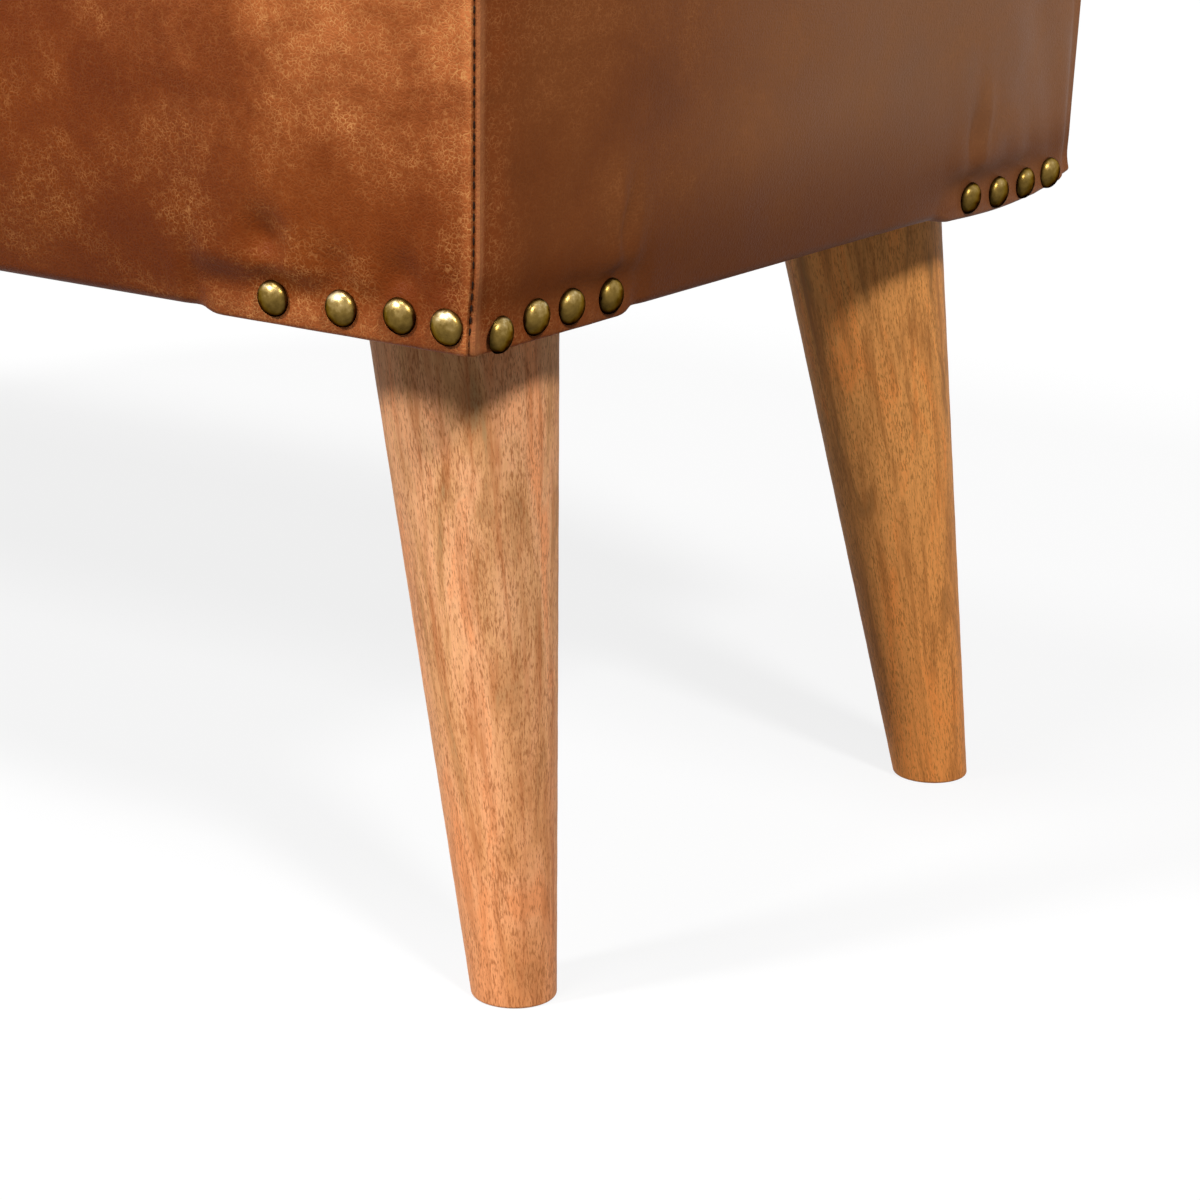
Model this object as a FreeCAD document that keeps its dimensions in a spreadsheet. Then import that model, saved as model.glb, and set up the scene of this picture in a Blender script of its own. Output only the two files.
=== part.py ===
# Upholstered bench: a leather-covered box seat on four splayed, tapered wooden legs.
# Frame: origin on the floor under the middle of the seat, +X along the bench, front at -Y, +Z up.
import FreeCAD, Part
import os
import re

import Sketcher
from FreeCAD import Placement, Rotation, Vector

doc = FreeCAD.newDocument("UpholsteredBench")

# Driving dimensions, in millimetres.
SIZES = {
    # Whole bench, over the leather
    "bench_length": 1000,
    "bench_depth": 400,
    "leg_height": 237,
    "side_bulge": 3.5,
    "crown": 11.4,
    # Layers of the seat, from the outside in
    "leather": 1.5,
    "ply_gap": 0.3,
    "side_pad": 5,
    "wadding": 4,
    "foam": 52,
    "deck": 12,
    # Turned-in edge of the leather, and the loose lip beside each corner
    "hem_width": 22,
    "long_lip": 105,
    "front_end_lip": 85,
    "back_end_lip": 105,
    "lip_drop": 1.5,
    # Timber frame; each corner block reaches past its leg's axis by the block margin
    "rail_thickness": 22,
    "rail_height": 130,
    "cross_rail_thickness": 22,
    "cross_rail_height": 60,
    "cross_rail_spacing": 330,
    "block_margin": 55,
    "block_height": 45,
    # Legs: inset and splay are measured from the seat's lower edge down to the floor
    "leg_top_diameter": 65.6,
    "leg_foot_diameter": 29.3,
    "leg_inset_end": 58,
    "leg_inset_front": 70,
    "splay_end": 35,
    "splay_front": 15.7,
    "foot_bevel": 1,
    # Hanger bolt and tee nut of each leg
    "bolt_diameter": 8,
    "bolt_in_leg": 50,
    "bolt_stand_out": 4,
    "bolt_point": 8,
    "bore_clearance": 0.4,
    "thread_clearance": 0.05,
    "tee_recess": 10,
    "tee_barrel_diameter": 10.5,
    "tee_barrel_length": 11,
    "tee_flange_diameter": 22,
    "tee_flange_thickness": 1.6,
    "tee_prong_width": 2.4,
    "tee_prong_thickness": 1.2,
    "tee_prong_length": 7,
    "tee_prong_radius": 8.6,
    # Round-headed upholstery nails, placed from the lower corner of each face
    "nail_head_diameter": 12.2,
    "nail_head_height": 4,
    "nail_shank_diameter": 1.8,
    "nail_length": 13,
    "nail_point": 4,
    "nail_rise": 7,
    "corner_nail_drop": 2.8,
    "long_nail_1": 9,
    "long_nail_2": 27.5,
    "long_nail_3": 51,
    "long_nail_4": 79,
    "front_end_nail_1": 12.5,
    "front_end_nail_2": 31,
    "front_end_nail_3": 50,
    "front_end_nail_4": 72,
    "back_end_nail_1": 22.5,
    "back_end_nail_2": 42.5,
    "back_end_nail_3": 63.5,
    "back_end_nail_4": 85,
    # Countersunk wood screws
    "screw_diameter": 4,
    "screw_head_diameter": 8,
    "screw_head_height": 2.4,
    "screw_point": 5,
    "rail_screw_length": 60,
    "block_screw_length": 46,
    "deck_screw_length": 35,
    "rail_screw_low": 45,
    "rail_screw_from_top": 35,
    "cross_screw_low": 12,
    "cross_screw_pitch": 18,
    "block_screw_pitch": 44,
    "deck_screw_pitch": 190,
    "deck_end_pitch": 150,
    "deck_cross_pitch": 120,
    # Dust cover under the seat, and the wire staples that hold it and the leather
    "dust_cover": 0.6,
    "dust_cover_margin": 12,
    "leg_hole_ease": 1.5,
    "staple_crown": 10,
    "staple_wire": 0.8,
    "staple_leg": 8,
    "staple_pitch": 66,
    "hem_staple_inset": 9.5,
    "cover_staple_margin": 5,
}

# Levels, outlines and directions that follow from the driving dimensions.
LAYOUT = {
    "z_frame": "leg_height + leather",
    "z_deck": "z_frame + rail_height",
    "z_foam": "z_deck + deck",
    "z_foam_top": "z_foam + foam",
    "z_wadding": "z_foam_top + ply_gap",
    "z_seam": "z_wadding + wadding + ply_gap",
    "z_middle": "(leg_height + z_seam) / 2",
    "base_x": "bench_length / 2 - side_bulge",
    "base_y": "bench_depth / 2 - side_bulge",
    "frame_inset": "leather + ply_gap + side_pad",
    "frame_x": "base_x - frame_inset",
    "frame_y": "base_y - frame_inset",
    "inner_x": "frame_x - rail_thickness",
    "inner_y": "frame_y - rail_thickness",
    "side_radius": "((z_seam - leg_height) ^ 2 / 4 + side_bulge ^ 2) / (2 * side_bulge)",
    "leg_x": "base_x - leg_inset_end",
    "leg_y": "base_y - leg_inset_front",
    "foot_x": "leg_x + splay_end",
    "foot_y": "leg_y + splay_front",
    "splay": "hypot(splay_end; splay_front)",
    "leg_axis": "hypot(splay; leg_height)",
    "leg_taper": "(leg_top_diameter - leg_foot_diameter) / (2 * leg_axis)",
    "leg_trim": "leg_foot_diameter / 2",
    "tee_seat": "(leather + block_height - tee_recess) * leg_axis / leg_height",
    "bolt_length": "bolt_in_leg + tee_seat + tee_flange_thickness + bolt_stand_out",
    "cover_staple_inset": "dust_cover_margin + cover_staple_margin",
}

CORNERS = {"front_left": (-1, -1), "front_right": (1, -1), "back_left": (-1, 1), "back_right": (1, 1)}

# Each side of the seat is built facing +Y and turned about the vertical: the turn, then the
# corners that lie at the -X and +X ends of the side before the turn.
SIDES = {
    "back": (0, "back_left", "back_right"),
    "left": (90, "front_left", "back_left"),
    "front": (180, "front_right", "front_left"),
    "right": (270, "back_right", "front_right"),
}
LONG_SIDES = ("front", "back")

# Share of the bench's half length, and share of the full crown there.
CROWN_STATIONS = [(-1, 0), (-0.5, 0.92), (0, 1), (0.5, 0.92), (1, 0)]


def qualified(text):
    """An expression with each size or layout word led by the name of its sheet."""
    def owner(match):
        word = match.group()
        if word in SIZES:
            return "Sizes." + word
        return "Layout." + word if word in LAYOUT else word

    return re.sub(r"[a-z][a-z_0-9]*", owner, str(text))


def fill_sheet(name, cells):
    page = doc.addObject("Spreadsheet::Sheet", name)
    for row, (alias, content) in enumerate(cells.items(), start=1):
        page.set(f"A{row}", alias.replace("_", " "))
        page.set(f"B{row}", content)
        page.setAlias(f"B{row}", alias)
        page.recompute()
    doc.recompute()
    return page


fill_sheet("Sizes", {alias: str(size) for alias, size in SIZES.items()})
layout = fill_sheet(
    "Layout", {alias: "=" + qualified(text).replace("Layout.", "") for alias, text in LAYOUT.items()}
)


def number(text):
    return float(layout.evalExpression(qualified(text)))


def bind(item, expressions):
    for path, text in expressions.items():
        item.setExpression(path, qualified(text))
    return item


# Basic solids

def box(name, size, corner):
    item = doc.addObject("Part::Box", name)
    bind(item, dict(zip(("Length", "Width", "Height"), size)))
    return bind(item, dict(zip(("Placement.Base.x", "Placement.Base.y", "Placement.Base.z"), corner)))


def cylinder(name, radius, height):
    item = doc.addObject("Part::Cylinder", name)
    return bind(item, {"Radius": radius, "Height": height})


def gathered(name, items):
    item = doc.addObject("Part::Compound", name)
    item.Links = list(items)
    return item


def cut(name, base, *tools):
    item = doc.addObject("Part::Cut", name)
    item.Base = base
    item.Tool = tools[0] if len(tools) == 1 else gathered(name + "_tools", tools)
    return item


def common(name, base, tool):
    item = doc.addObject("Part::Common", name)
    item.Base = base
    item.Tool = tool
    return item


def fuse(name, *shapes):
    item = doc.addObject("Part::MultiFuse", name)
    item.Shapes = list(shapes)
    return item


# Sketched bodies

def origin_feature(body, role):
    return next(feature for feature in body.Origin.OriginFeatures if feature.Role == role)


def dome_arc(start, end):
    """A shallow arc between a point and the top of a dome that stands on the vertical axis."""
    apex, edge = (start, end) if abs(start.x) < abs(end.x) else (end, start)
    rise = apex.y - edge.y
    radius = (edge.x ** 2 + rise ** 2) / (2 * rise)
    centre = Vector(0, apex.y - radius, 0)
    across = (start + end) * 0.5 - centre
    return Part.Arc(start, centre + across * (radius / across.Length), end)


def outline(body, name, plane, points, domes=(), offset="0"):
    """A closed outline through points given as size expressions. An edge whose first point's
    number is in domes is an arc about a centre on the vertical axis."""
    sketch = body.newObject("Sketcher::SketchObject", name)
    sketch.AttachmentSupport = [(origin_feature(body, plane), "")]
    sketch.MapMode = "FlatFace"
    bind(sketch, {"AttachmentOffset.Base.z": offset})
    corners = [Vector(number(across), number(up), 0) for across, up in points]
    ends = []
    for i, start in enumerate(corners):
        end = corners[(i + 1) % len(corners)]
        backward = i in domes and end.x > start.x
        if backward:
            start, end = end, start
        edge = dome_arc(start, end) if i in domes else Part.LineSegment(start, end)
        sketch.addGeometry(edge, False)
        ends.append((2, 1) if backward else (1, 2))
    for i, (first, last) in enumerate(ends):
        following = (i + 1) % len(ends)
        sketch.addConstraint(Sketcher.Constraint("Coincident", i, last, following, ends[following][0]))
        if i in domes:
            sketch.addConstraint(Sketcher.Constraint("PointOnObject", i, 3, -2))
        for kind, axis, text in (("DistanceX", -2, points[i][0]), ("DistanceY", -1, points[i][1])):
            if text == "0":
                sketch.addConstraint(Sketcher.Constraint("PointOnObject", i, first, axis))
                continue
            # A negative place is measured from the point back to the axis.
            size = text.removeprefix("-")
            span = (-1, 1, i, first) if size == text else (i, first, -1, 1)
            index = sketch.addConstraint(Sketcher.Constraint(kind, *span, number(size)))
            label = f"{kind}_{i}"
            sketch.renameConstraint(index, label)
            bind(sketch, {"Constraints." + label: size})
    return sketch


def turned(name, points, domes=()):
    body = doc.addObject("PartDesign::Body", name)
    sketch = outline(body, name + "_profile", "XZ_Plane", points, domes)
    turning = body.newObject("PartDesign::Revolution", name + "_turning")
    turning.Profile = sketch
    turning.ReferenceAxis = (sketch, ["V_Axis"])
    turning.Angle = 360
    return body


def padded(body, name, points, width):
    pad = body.newObject("PartDesign::Pad", name)
    pad.Profile = outline(body, name + "_profile", "XZ_Plane", points)
    pad.Midplane = True
    return bind(pad, {"Length": width})


def on_leg_axis(item, corner, along):
    """Stands an item on a leg's axis, its own Z up the axis, at a distance from the floor."""
    side_x, side_y = CORNERS[corner]
    share = f"({along}) / leg_axis"
    place = f"vector({side_x} * (foot_x - splay_end * {share});"
    place += f" {side_y} * (foot_y - splay_front * {share}); leg_height * {share})"
    lean = f"rotation(vector({side_y} * splay_front; {-side_x} * splay_end; 0); atan2(splay; leg_height))"
    return bind(item, {"Placement": f"placement({place}; {lean})"})


# Groups of identical fasteners

def group(name, master, places):
    doc.recompute()
    item = doc.addObject("Part::Feature", name)
    copies = [master.Shape.transformed(place.toMatrix(), True) for place in places]
    item.Shape = Part.makeCompound(copies)
    return item


def turn_about_z(angle):
    return Placement(Vector(), Rotation(Vector(0, 0, 1), angle))


def pointing(base, direction):
    return Placement(base, Rotation(Vector(0, 0, 1), direction))


def spread(pitch, lowest, highest):
    """Places at a steady pitch from the middle of the bench, between two limits."""
    steps = range(int(lowest // pitch), int(highest // pitch) + 1)
    return [pitch * step for step in steps if pitch * step >= lowest]


# Wood screws: point at the origin, head up.

def wood_screw(name, length):
    return turned(
        name,
        [
            ("0", "0"),
            ("screw_diameter / 2", "screw_point"),
            ("screw_diameter / 2", f"{length} - screw_head_height"),
            ("screw_head_diameter / 2", length),
            ("0", length),
        ],
    )


def driven(head, inward, length):
    return pointing(head + inward * number(length), -inward)


def frame_screw_group():
    """Through the long rails, into the ends of the end rails and of the cross rails."""
    heights = {
        "frame_x - rail_thickness / 2": ("z_frame + rail_screw_low", "z_deck - rail_screw_from_top"),
        "cross_rail_spacing / 2": (
            "z_deck - cross_rail_height + cross_screw_low",
            "z_deck - cross_rail_height + cross_screw_low + cross_screw_pitch",
        ),
    }
    places = []
    for side_x, side_y in CORNERS.values():
        for x, levels in heights.items():
            for level in levels:
                head = Vector(side_x * number(x), side_y * number("frame_y"), number(level))
                places.append(driven(head, Vector(0, -side_y, 0), "rail_screw_length"))
    return group("frame_screws", wood_screw("frame_screw", "rail_screw_length"), places)


def block_screw_group():
    """Through the rails into the corner blocks, on both sides of each leg's bolt. The two rails'
    screws are at different heights, so that they pass each other."""
    third = number("block_height / 3")
    level = number("z_frame")
    places = []
    for side_x, side_y in CORNERS.values():
        for step in (-0.5, 0.5):
            shift = step * number("block_screw_pitch")
            x, y = number("leg_x") + shift, number("leg_y") + shift
            through_long = Vector(side_x * x, side_y * number("frame_y"), level + third)
            through_end = Vector(side_x * number("frame_x"), side_y * y, level + 2 * third)
            places.append(driven(through_long, Vector(0, -side_y, 0), "block_screw_length"))
            places.append(driven(through_end, Vector(-side_x, 0, 0), "block_screw_length"))
    return group("block_screws", wood_screw("block_screw", "block_screw_length"), places)


def deck_screw_group():
    """Down through the deck into every rail."""
    heads = []
    for side in (-1, 1):
        long_line = side * number("frame_y - rail_thickness / 2")
        reach = number("inner_x")
        heads += [(x, long_line) for x in spread(number("deck_screw_pitch"), -reach, reach)]
        for line, pitch in (
            ("frame_x - rail_thickness / 2", "deck_end_pitch"),
            ("cross_rail_spacing / 2", "deck_cross_pitch"),
        ):
            heads += [(side * number(line), step * number(pitch)) for step in (-0.5, 0.5)]
    top = number("z_foam")
    places = [driven(Vector(x, y, top), Vector(0, 0, -1), "deck_screw_length") for x, y in heads]
    return group("deck_screws", wood_screw("deck_screw", "deck_screw_length"), places)


# The sides of the seat: half their run, how far out they stand, and what is at each end

def half_run(side):
    return "bench_length / 2" if side in LONG_SIDES else "bench_depth / 2"


def half_reach(side):
    return "bench_depth / 2" if side in LONG_SIDES else "bench_length / 2"


def base_run(side):
    return "base_x" if side in LONG_SIDES else "base_y"


def base_reach(side):
    return "base_y" if side in LONG_SIDES else "base_x"


def corner_kind(side, corner):
    if side in LONG_SIDES:
        return "long"
    return "front_end" if corner.startswith("front") else "back_end"


def straight_edge(side):
    """Where the turned-in hem of a side starts and stops, between the lips at its two corners."""
    start, stop = SIDES[side][1:]
    run = base_run(side)
    return f"({corner_kind(side, start)}_lip - {run})", f"({run} - {corner_kind(side, stop)}_lip)"


# Upholstery nail: domed head on a pointed shank. It stands square to the curved side of the seat.

def upholstery_nail():
    return turned(
        "upholstery_nail",
        [
            ("0", "0"),
            ("nail_shank_diameter / 2", "nail_point"),
            ("nail_shank_diameter / 2", "nail_length"),
            ("nail_head_diameter / 2", "nail_length"),
            ("0", "nail_length + nail_head_height"),
        ],
        domes=(3,),
    )


def nail_place(side, toward, kind, order):
    """One nail of a side, in order from the corner. The nail next to the corner is lower on the
    ends than on the long sides, so that the two shanks pass each other."""
    rise = "leg_height + nail_rise"
    if order == 1 and side not in LONG_SIDES:
        rise += " - corner_nail_drop"
    radius = number("side_radius")
    drop = number(f"z_middle - ({rise})")
    level = (radius ** 2 - drop ** 2) ** 0.5
    outward = Vector(0, level / radius, -drop / radius)
    seat = Vector(
        toward * number(f"{base_run(side)} - {kind}_nail_{order}"),
        number(half_reach(side)) - radius + level,
        number(rise),
    )
    tip = seat - outward * number("nail_length")
    return turn_about_z(SIDES[side][0]) * pointing(tip, outward)


def nail_group(corner, nail):
    places = []
    for side, (_, start, stop) in SIDES.items():
        if corner in (start, stop):
            toward = 1 if corner == stop else -1
            kind = corner_kind(side, corner)
            places += [nail_place(side, toward, kind, order) for order in range(1, 5)]
    return group("nails_" + corner, nail, places)


# Wire staple: crown below, legs up.

def wire_staple():
    body = doc.addObject("PartDesign::Body", "wire_staple")
    padded(
        body,
        "wire_staple_pad",
        [
            ("0", "0"),
            ("staple_crown", "0"),
            ("staple_crown", "staple_leg"),
            ("staple_crown - staple_wire", "staple_leg"),
            ("staple_crown - staple_wire", "staple_wire"),
            ("staple_wire", "staple_wire"),
            ("staple_wire", "staple_leg"),
            ("0", "staple_leg"),
        ],
        "staple_wire",
    )
    return body


def staple_rows(name, staple, inset, lower_face):
    """One row of staples for each side of the seat, along its turned-in hem."""
    crown = number("staple_crown")
    rows = {}
    for side, (turn, _, _) in SIDES.items():
        start, stop = (number(end) for end in straight_edge(side))
        y = number(f"{base_reach(side)} - {inset}")
        z = number(f"{lower_face} - staple_wire")
        places = [
            turn_about_z(turn) * Placement(Vector(x - crown / 2, y, z), Rotation())
            for x in spread(number("staple_pitch"), start + crown, stop - crown)
        ]
        rows[side] = group(f"{name}_{side}", staple, places)
    return rows


# Legs and their fixings

def hanger_bolt(corner):
    bolt = turned(
        "hanger_bolt_" + corner,
        [
            ("0", "0"),
            ("bolt_diameter / 2", "bolt_point"),
            ("bolt_diameter / 2", "bolt_length"),
            ("0", "bolt_length"),
        ],
    )
    return on_leg_axis(bolt, corner, "leg_axis - bolt_in_leg")


def tee_nut(corner):
    name = "tee_nut_" + corner
    bore = "bolt_diameter / 2 + thread_clearance"
    top = "tee_barrel_length + tee_flange_thickness"
    body = turned(
        name,
        [
            (bore, "0"),
            ("tee_barrel_diameter / 2", "0"),
            ("tee_barrel_diameter / 2", "tee_barrel_length"),
            ("tee_flange_diameter / 2", "tee_barrel_length"),
            ("tee_flange_diameter / 2", top),
            (bore, top),
        ],
    )
    inner = "tee_prong_radius - tee_prong_thickness / 2"
    prong = padded(
        body,
        name + "_prong",
        [
            (inner, "tee_barrel_length - tee_prong_length"),
            ("tee_prong_radius + tee_prong_thickness / 2", "tee_barrel_length"),
            (inner, "tee_barrel_length"),
        ],
        "tee_prong_width",
    )
    doc.recompute()
    prongs = body.newObject("PartDesign::PolarPattern", name + "_prongs")
    prongs.Originals = [prong]
    prongs.Axis = (origin_feature(body, "Z_Axis"), [""])
    prongs.Angle = 360
    prongs.Occurrences = 4
    body.Tip = prongs
    return on_leg_axis(body, corner, "leg_axis + tee_seat - tee_barrel_length")


def leg(corner, bolt):
    name = "leg_" + corner
    blank = turned(
        name + "_blank",
        [
            ("0", "0"),
            ("leg_foot_diameter / 2 - leg_taper * leg_trim", "0"),
            ("leg_top_diameter / 2 + leg_taper * leg_trim", "leg_axis + 2 * leg_trim"),
            ("0", "leg_axis + 2 * leg_trim"),
        ],
    )
    on_leg_axis(blank, corner, "-1 * leg_trim")
    # Cut level at the floor and under the frame, so that the splayed leg stands flat.
    level = box(
        name + "_level",
        ("2 * bench_length", "2 * bench_depth", "z_frame"),
        ("-1 * bench_length", "-1 * bench_depth", "0"),
    )
    bored = cut(name + "_bored", common(name + "_trimmed", blank, level), bolt)
    doc.recompute()
    bevel = number("foot_bevel")
    bevelled = doc.addObject("Part::Chamfer", name)
    bevelled.Base = bored
    bevelled.Edges = [
        (order, bevel, bevel)
        for order, edge in enumerate(bored.Shape.Edges, start=1)
        if edge.BoundBox.ZMax < bevel / 2
    ]
    return bevelled


def corner_block(corner, nut, screws):
    side_x, side_y = CORNERS[corner]
    name = "corner_block_" + corner
    length, width = "(inner_x - leg_x + block_margin)", "(inner_y - leg_y + block_margin)"
    blank = box(
        name + "_blank",
        (length, width, "block_height"),
        (
            f"{side_x} * (inner_x - {length} / 2) - {length} / 2",
            f"{side_y} * (inner_y - {width} / 2) - {width} / 2",
            "z_frame",
        ),
    )
    bore = cylinder(name + "_bore", "bolt_diameter / 2 + bore_clearance", "leg_trim + tee_seat")
    on_leg_axis(bore, corner, "leg_axis - leg_trim")
    recess = cylinder(name + "_recess", "tee_flange_diameter / 2 + bore_clearance", "block_height")
    on_leg_axis(recess, corner, "leg_axis + tee_seat")
    return cut(name, blank, bore, recess, nut, screws)


def leg_hole(corner):
    """Room for the top of a leg in the dust cover and in the turned-in leather."""
    side_x, side_y = CORNERS[corner]
    hole = cylinder(
        "leg_hole_" + corner, "leg_top_diameter / 2 + leg_hole_ease", "leather + 2 * dust_cover"
    )
    return bind(
        hole,
        {
            "Placement.Base.x": f"{side_x} * leg_x",
            "Placement.Base.y": f"{side_y} * leg_y",
            "Placement.Base.z": "leg_height - 2 * dust_cover",
        },
    )


# Timber frame

def long_rail(word, side_y, tools):
    blank = box(
        word + "_rail_blank",
        ("2 * frame_x", "rail_thickness", "rail_height"),
        ("-1 * frame_x", f"{side_y} * (frame_y - rail_thickness / 2) - rail_thickness / 2", "z_frame"),
    )
    return cut(word + "_rail", blank, *tools)


def end_rail(word, side_x, tools):
    blank = box(
        word + "_end_rail_blank",
        ("rail_thickness", "2 * inner_y", "rail_height"),
        (f"{side_x} * (frame_x - rail_thickness / 2) - rail_thickness / 2", "-1 * inner_y", "z_frame"),
    )
    return cut(word + "_end_rail", blank, *tools)


def cross_rail(word, side_x, tools):
    blank = box(
        word + "_cross_rail_blank",
        ("cross_rail_thickness", "2 * inner_y", "cross_rail_height"),
        (
            f"{side_x} * cross_rail_spacing / 2 - cross_rail_thickness / 2",
            "-1 * inner_y",
            "z_deck - cross_rail_height",
        ),
    )
    return cut(word + "_cross_rail", blank, *tools)


def seat_deck(screws):
    blank = box(
        "seat_deck_blank",
        ("2 * frame_x", "2 * frame_y", "deck"),
        ("-1 * frame_x", "-1 * frame_y", "z_deck"),
    )
    return cut("seat_deck", blank, screws)


# Side pads and leather sides: shallow barrel-shaped skins, mitred at the corners.

def barrel(name, side, radius):
    item = cylinder(name, radius, f"2 * ({half_run(side)})")
    place = f"vector(-1 * {half_run(side)}; {half_reach(side)} - side_radius; z_middle)"
    return bind(item, {"Placement": f"placement({place}; rotation(vector(0; 1; 0); 90))"})


def mitre(name, side):
    """An upright prism that narrows at 45 degrees towards the inside, through the seat's corners."""
    item = doc.addObject("Part::Wedge", name)
    run, reach = half_run(side), half_reach(side)
    inside = f"({base_reach(side)} - hem_width - rail_thickness)"
    inner_run = f"({run} - {reach} + {inside})"
    outer_run = f"({run} + leather)"
    return bind(
        item,
        {
            "Ymin": inside,
            "Ymax": f"{reach} + leather",
            "Xmin": f"-1 * {inner_run}",
            "Xmax": inner_run,
            "X2min": f"-1 * {outer_run}",
            "X2max": outer_run,
            "Zmin": "leg_height - 2 * lip_drop",
            "Z2min": "leg_height - 2 * lip_drop",
            "Zmax": "z_seam + leather",
            "Z2max": "z_seam + leather",
        },
    )


def side_pad(side, tools):
    name = side + "_side_pad"
    slab = box(
        name + "_slab",
        (f"2 * ({half_run(side)})", "side_pad + 2 * side_bulge", "z_foam_top - z_frame"),
        (f"-1 * {half_run(side)}", f"{base_reach(side)} - frame_inset", "z_frame"),
    )
    swell = barrel(name + "_swell", side, "side_radius - leather - ply_gap")
    swollen = common(name + "_swollen", swell, slab)
    mitred = common(name + "_mitred", swollen, mitre(name + "_mitre", side))
    mitred.Placement = turn_about_z(SIDES[side][0])
    return cut(name, mitred, *tools)


def leather_side(side, tools):
    name = f"leather_{side}_panel" if side in LONG_SIDES else f"leather_{side}_end_panel"
    run, reach = half_run(side), base_reach(side)
    shell = cut(
        name + "_shell",
        barrel(name + "_outer", side, "side_radius"),
        barrel(name + "_inner", side, "side_radius - leather"),
    )
    band = box(
        name + "_band",
        (f"2 * ({run})", "2 * leather + 2 * side_bulge", "z_seam - leg_height"),
        (f"-1 * {run}", f"{reach} - 2 * leather", "leg_height"),
    )
    start, stop = straight_edge(side)
    hem = box(
        name + "_hem",
        (f"{stop} - {start}", "hem_width - leather / 2", "leather"),
        (start, f"{reach} - hem_width", "leg_height"),
    )
    pieces = [common(name + "_skin", shell, band), hem]
    for word, length, begin in (
        ("first", f"{start} + {run}", f"-1 * {run}"),
        ("last", f"{run} - {stop}", stop),
    ):
        pieces.append(
            box(
                f"{name}_{word}_lip",
                (length, "leather", "lip_drop + leather / 2"),
                (begin, f"{reach} - leather", "leg_height - lip_drop"),
            )
        )
    sewn = common(name + "_sewn", fuse(name + "_joined", *pieces), mitre(name + "_mitre", side))
    sewn.Placement = turn_about_z(SIDES[side][0])
    return cut(name, sewn, *tools)


# Crowned layers of the seat: level along their edges, swelling towards the middle.

def crowned_layer(name, half_x, half_y, lower, thickness, swells_below):
    body = doc.addObject("PartDesign::Body", name)
    sections = []
    for order, (station, share) in enumerate(CROWN_STATIONS):
        rise = f" + crown * {share}"
        below = rise if swells_below else ""
        points = [
            (f"-({half_y})", lower),
            ("0", lower + below),
            (half_y, lower),
            (half_y, f"{lower} + {thickness}"),
            ("0", f"{lower} + {thickness}{rise}"),
            (f"-({half_y})", f"{lower} + {thickness}"),
        ]
        arcs = () if share == 0 else (0, 1, 3, 4) if swells_below else (3, 4)
        place = f"({half_x}) * {station}"
        sections.append(outline(body, f"{name}_section_{order}", "YZ_Plane", points, arcs, place))
    loft = body.newObject("PartDesign::AdditiveLoft", name + "_loft")
    loft.Profile = sections[0]
    loft.Sections = sections[1:]
    return body


def dust_cover(tools):
    half_x, half_y = "(base_x - dust_cover_margin)", "(base_y - dust_cover_margin)"
    sheet = box(
        "dust_cover_sheet",
        (f"2 * {half_x}", f"2 * {half_y}", "dust_cover"),
        (f"-1 * {half_x}", f"-1 * {half_y}", "leg_height - dust_cover"),
    )
    return cut("dust_cover", sheet, *tools)


# Assembly

nail = upholstery_nail()
staple = wire_staple()
frame_screws = frame_screw_group()
block_screws = block_screw_group()
deck_screws = deck_screw_group()
nails = {corner: nail_group(corner, nail) for corner in CORNERS}
hem_rows = staple_rows("hem_staples", staple, "hem_staple_inset", "leg_height")
cover_rows = staple_rows("dust_cover_staples", staple, "cover_staple_inset", "leg_height - dust_cover")
hem_staples = gathered("hem_staples", hem_rows.values())
cover_staples = gathered("dust_cover_staples", cover_rows.values())
leg_holes = [leg_hole(corner) for corner in CORNERS]

screws = [frame_screws, block_screws, deck_screws]
parts = [*screws, hem_staples, cover_staples, *nails.values()]


def nails_on(side):
    return [nails[corner] for corner in SIDES[side][1:]]


def staples_on(side):
    return [hem_rows[side], cover_rows[side]]


for word, direction in (("front", -1), ("back", 1)):
    parts.append(long_rail(word, direction, [*screws, *staples_on(word), *nails_on(word)]))
for word, direction in (("left", -1), ("right", 1)):
    parts.append(end_rail(word, direction, [*screws, *staples_on(word), *nails_on(word)]))
    parts.append(cross_rail(word, direction, [frame_screws, deck_screws]))
parts.append(seat_deck(deck_screws))

for corner in CORNERS:
    bolt = hanger_bolt(corner)
    nut = tee_nut(corner)
    parts += [bolt, nut, leg(corner, bolt), corner_block(corner, nut, block_screws)]

parts.append(crowned_layer("seat_foam", "frame_x", "frame_y", "z_foam", "foam", False))
under_leather = [f"{reach} - leather - ply_gap" for reach in ("base_x", "base_y")]
parts.append(crowned_layer("top_wadding", *under_leather, "z_wadding", "wadding", True))
parts.append(crowned_layer("leather_top_panel", "base_x", "base_y", "z_seam", "leather", True))
for side in SIDES:
    parts.append(side_pad(side, nails_on(side)))
    parts.append(leather_side(side, [*nails_on(side), *staples_on(side), *leg_holes]))
parts.append(dust_cover([*leg_holes, hem_staples, cover_staples]))

doc.recompute()

# Checks and output

for item in doc.Objects:
    if {"Invalid", "Error"} & set(item.State):
        raise RuntimeError(f"{item.Label} failed: {item.State}")
for item in parts:
    if item.Shape.isNull() or not item.Shape.isValid() or not item.Shape.Solids:
        raise RuntimeError(f"{item.Label} has no valid solid")

os.makedirs("parts", exist_ok=True)
for item in parts:
    item.Shape.exportStep(f"parts/{item.Label}.step")
    print(f"{item.Label}: {len(item.Shape.Solids)} solids, {item.Shape.Volume / 1000:.1f} cm3")
print(f"{len(parts)} sub-parts, {number('z_seam + leather + crown'):.1f} mm high")
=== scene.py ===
# Upholstered bench: stitched leather over a padded box seat, brass nails, turned wooden legs.
import math

import bmesh
import bpy
import numpy as np
from mathutils import Matrix, Vector


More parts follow.
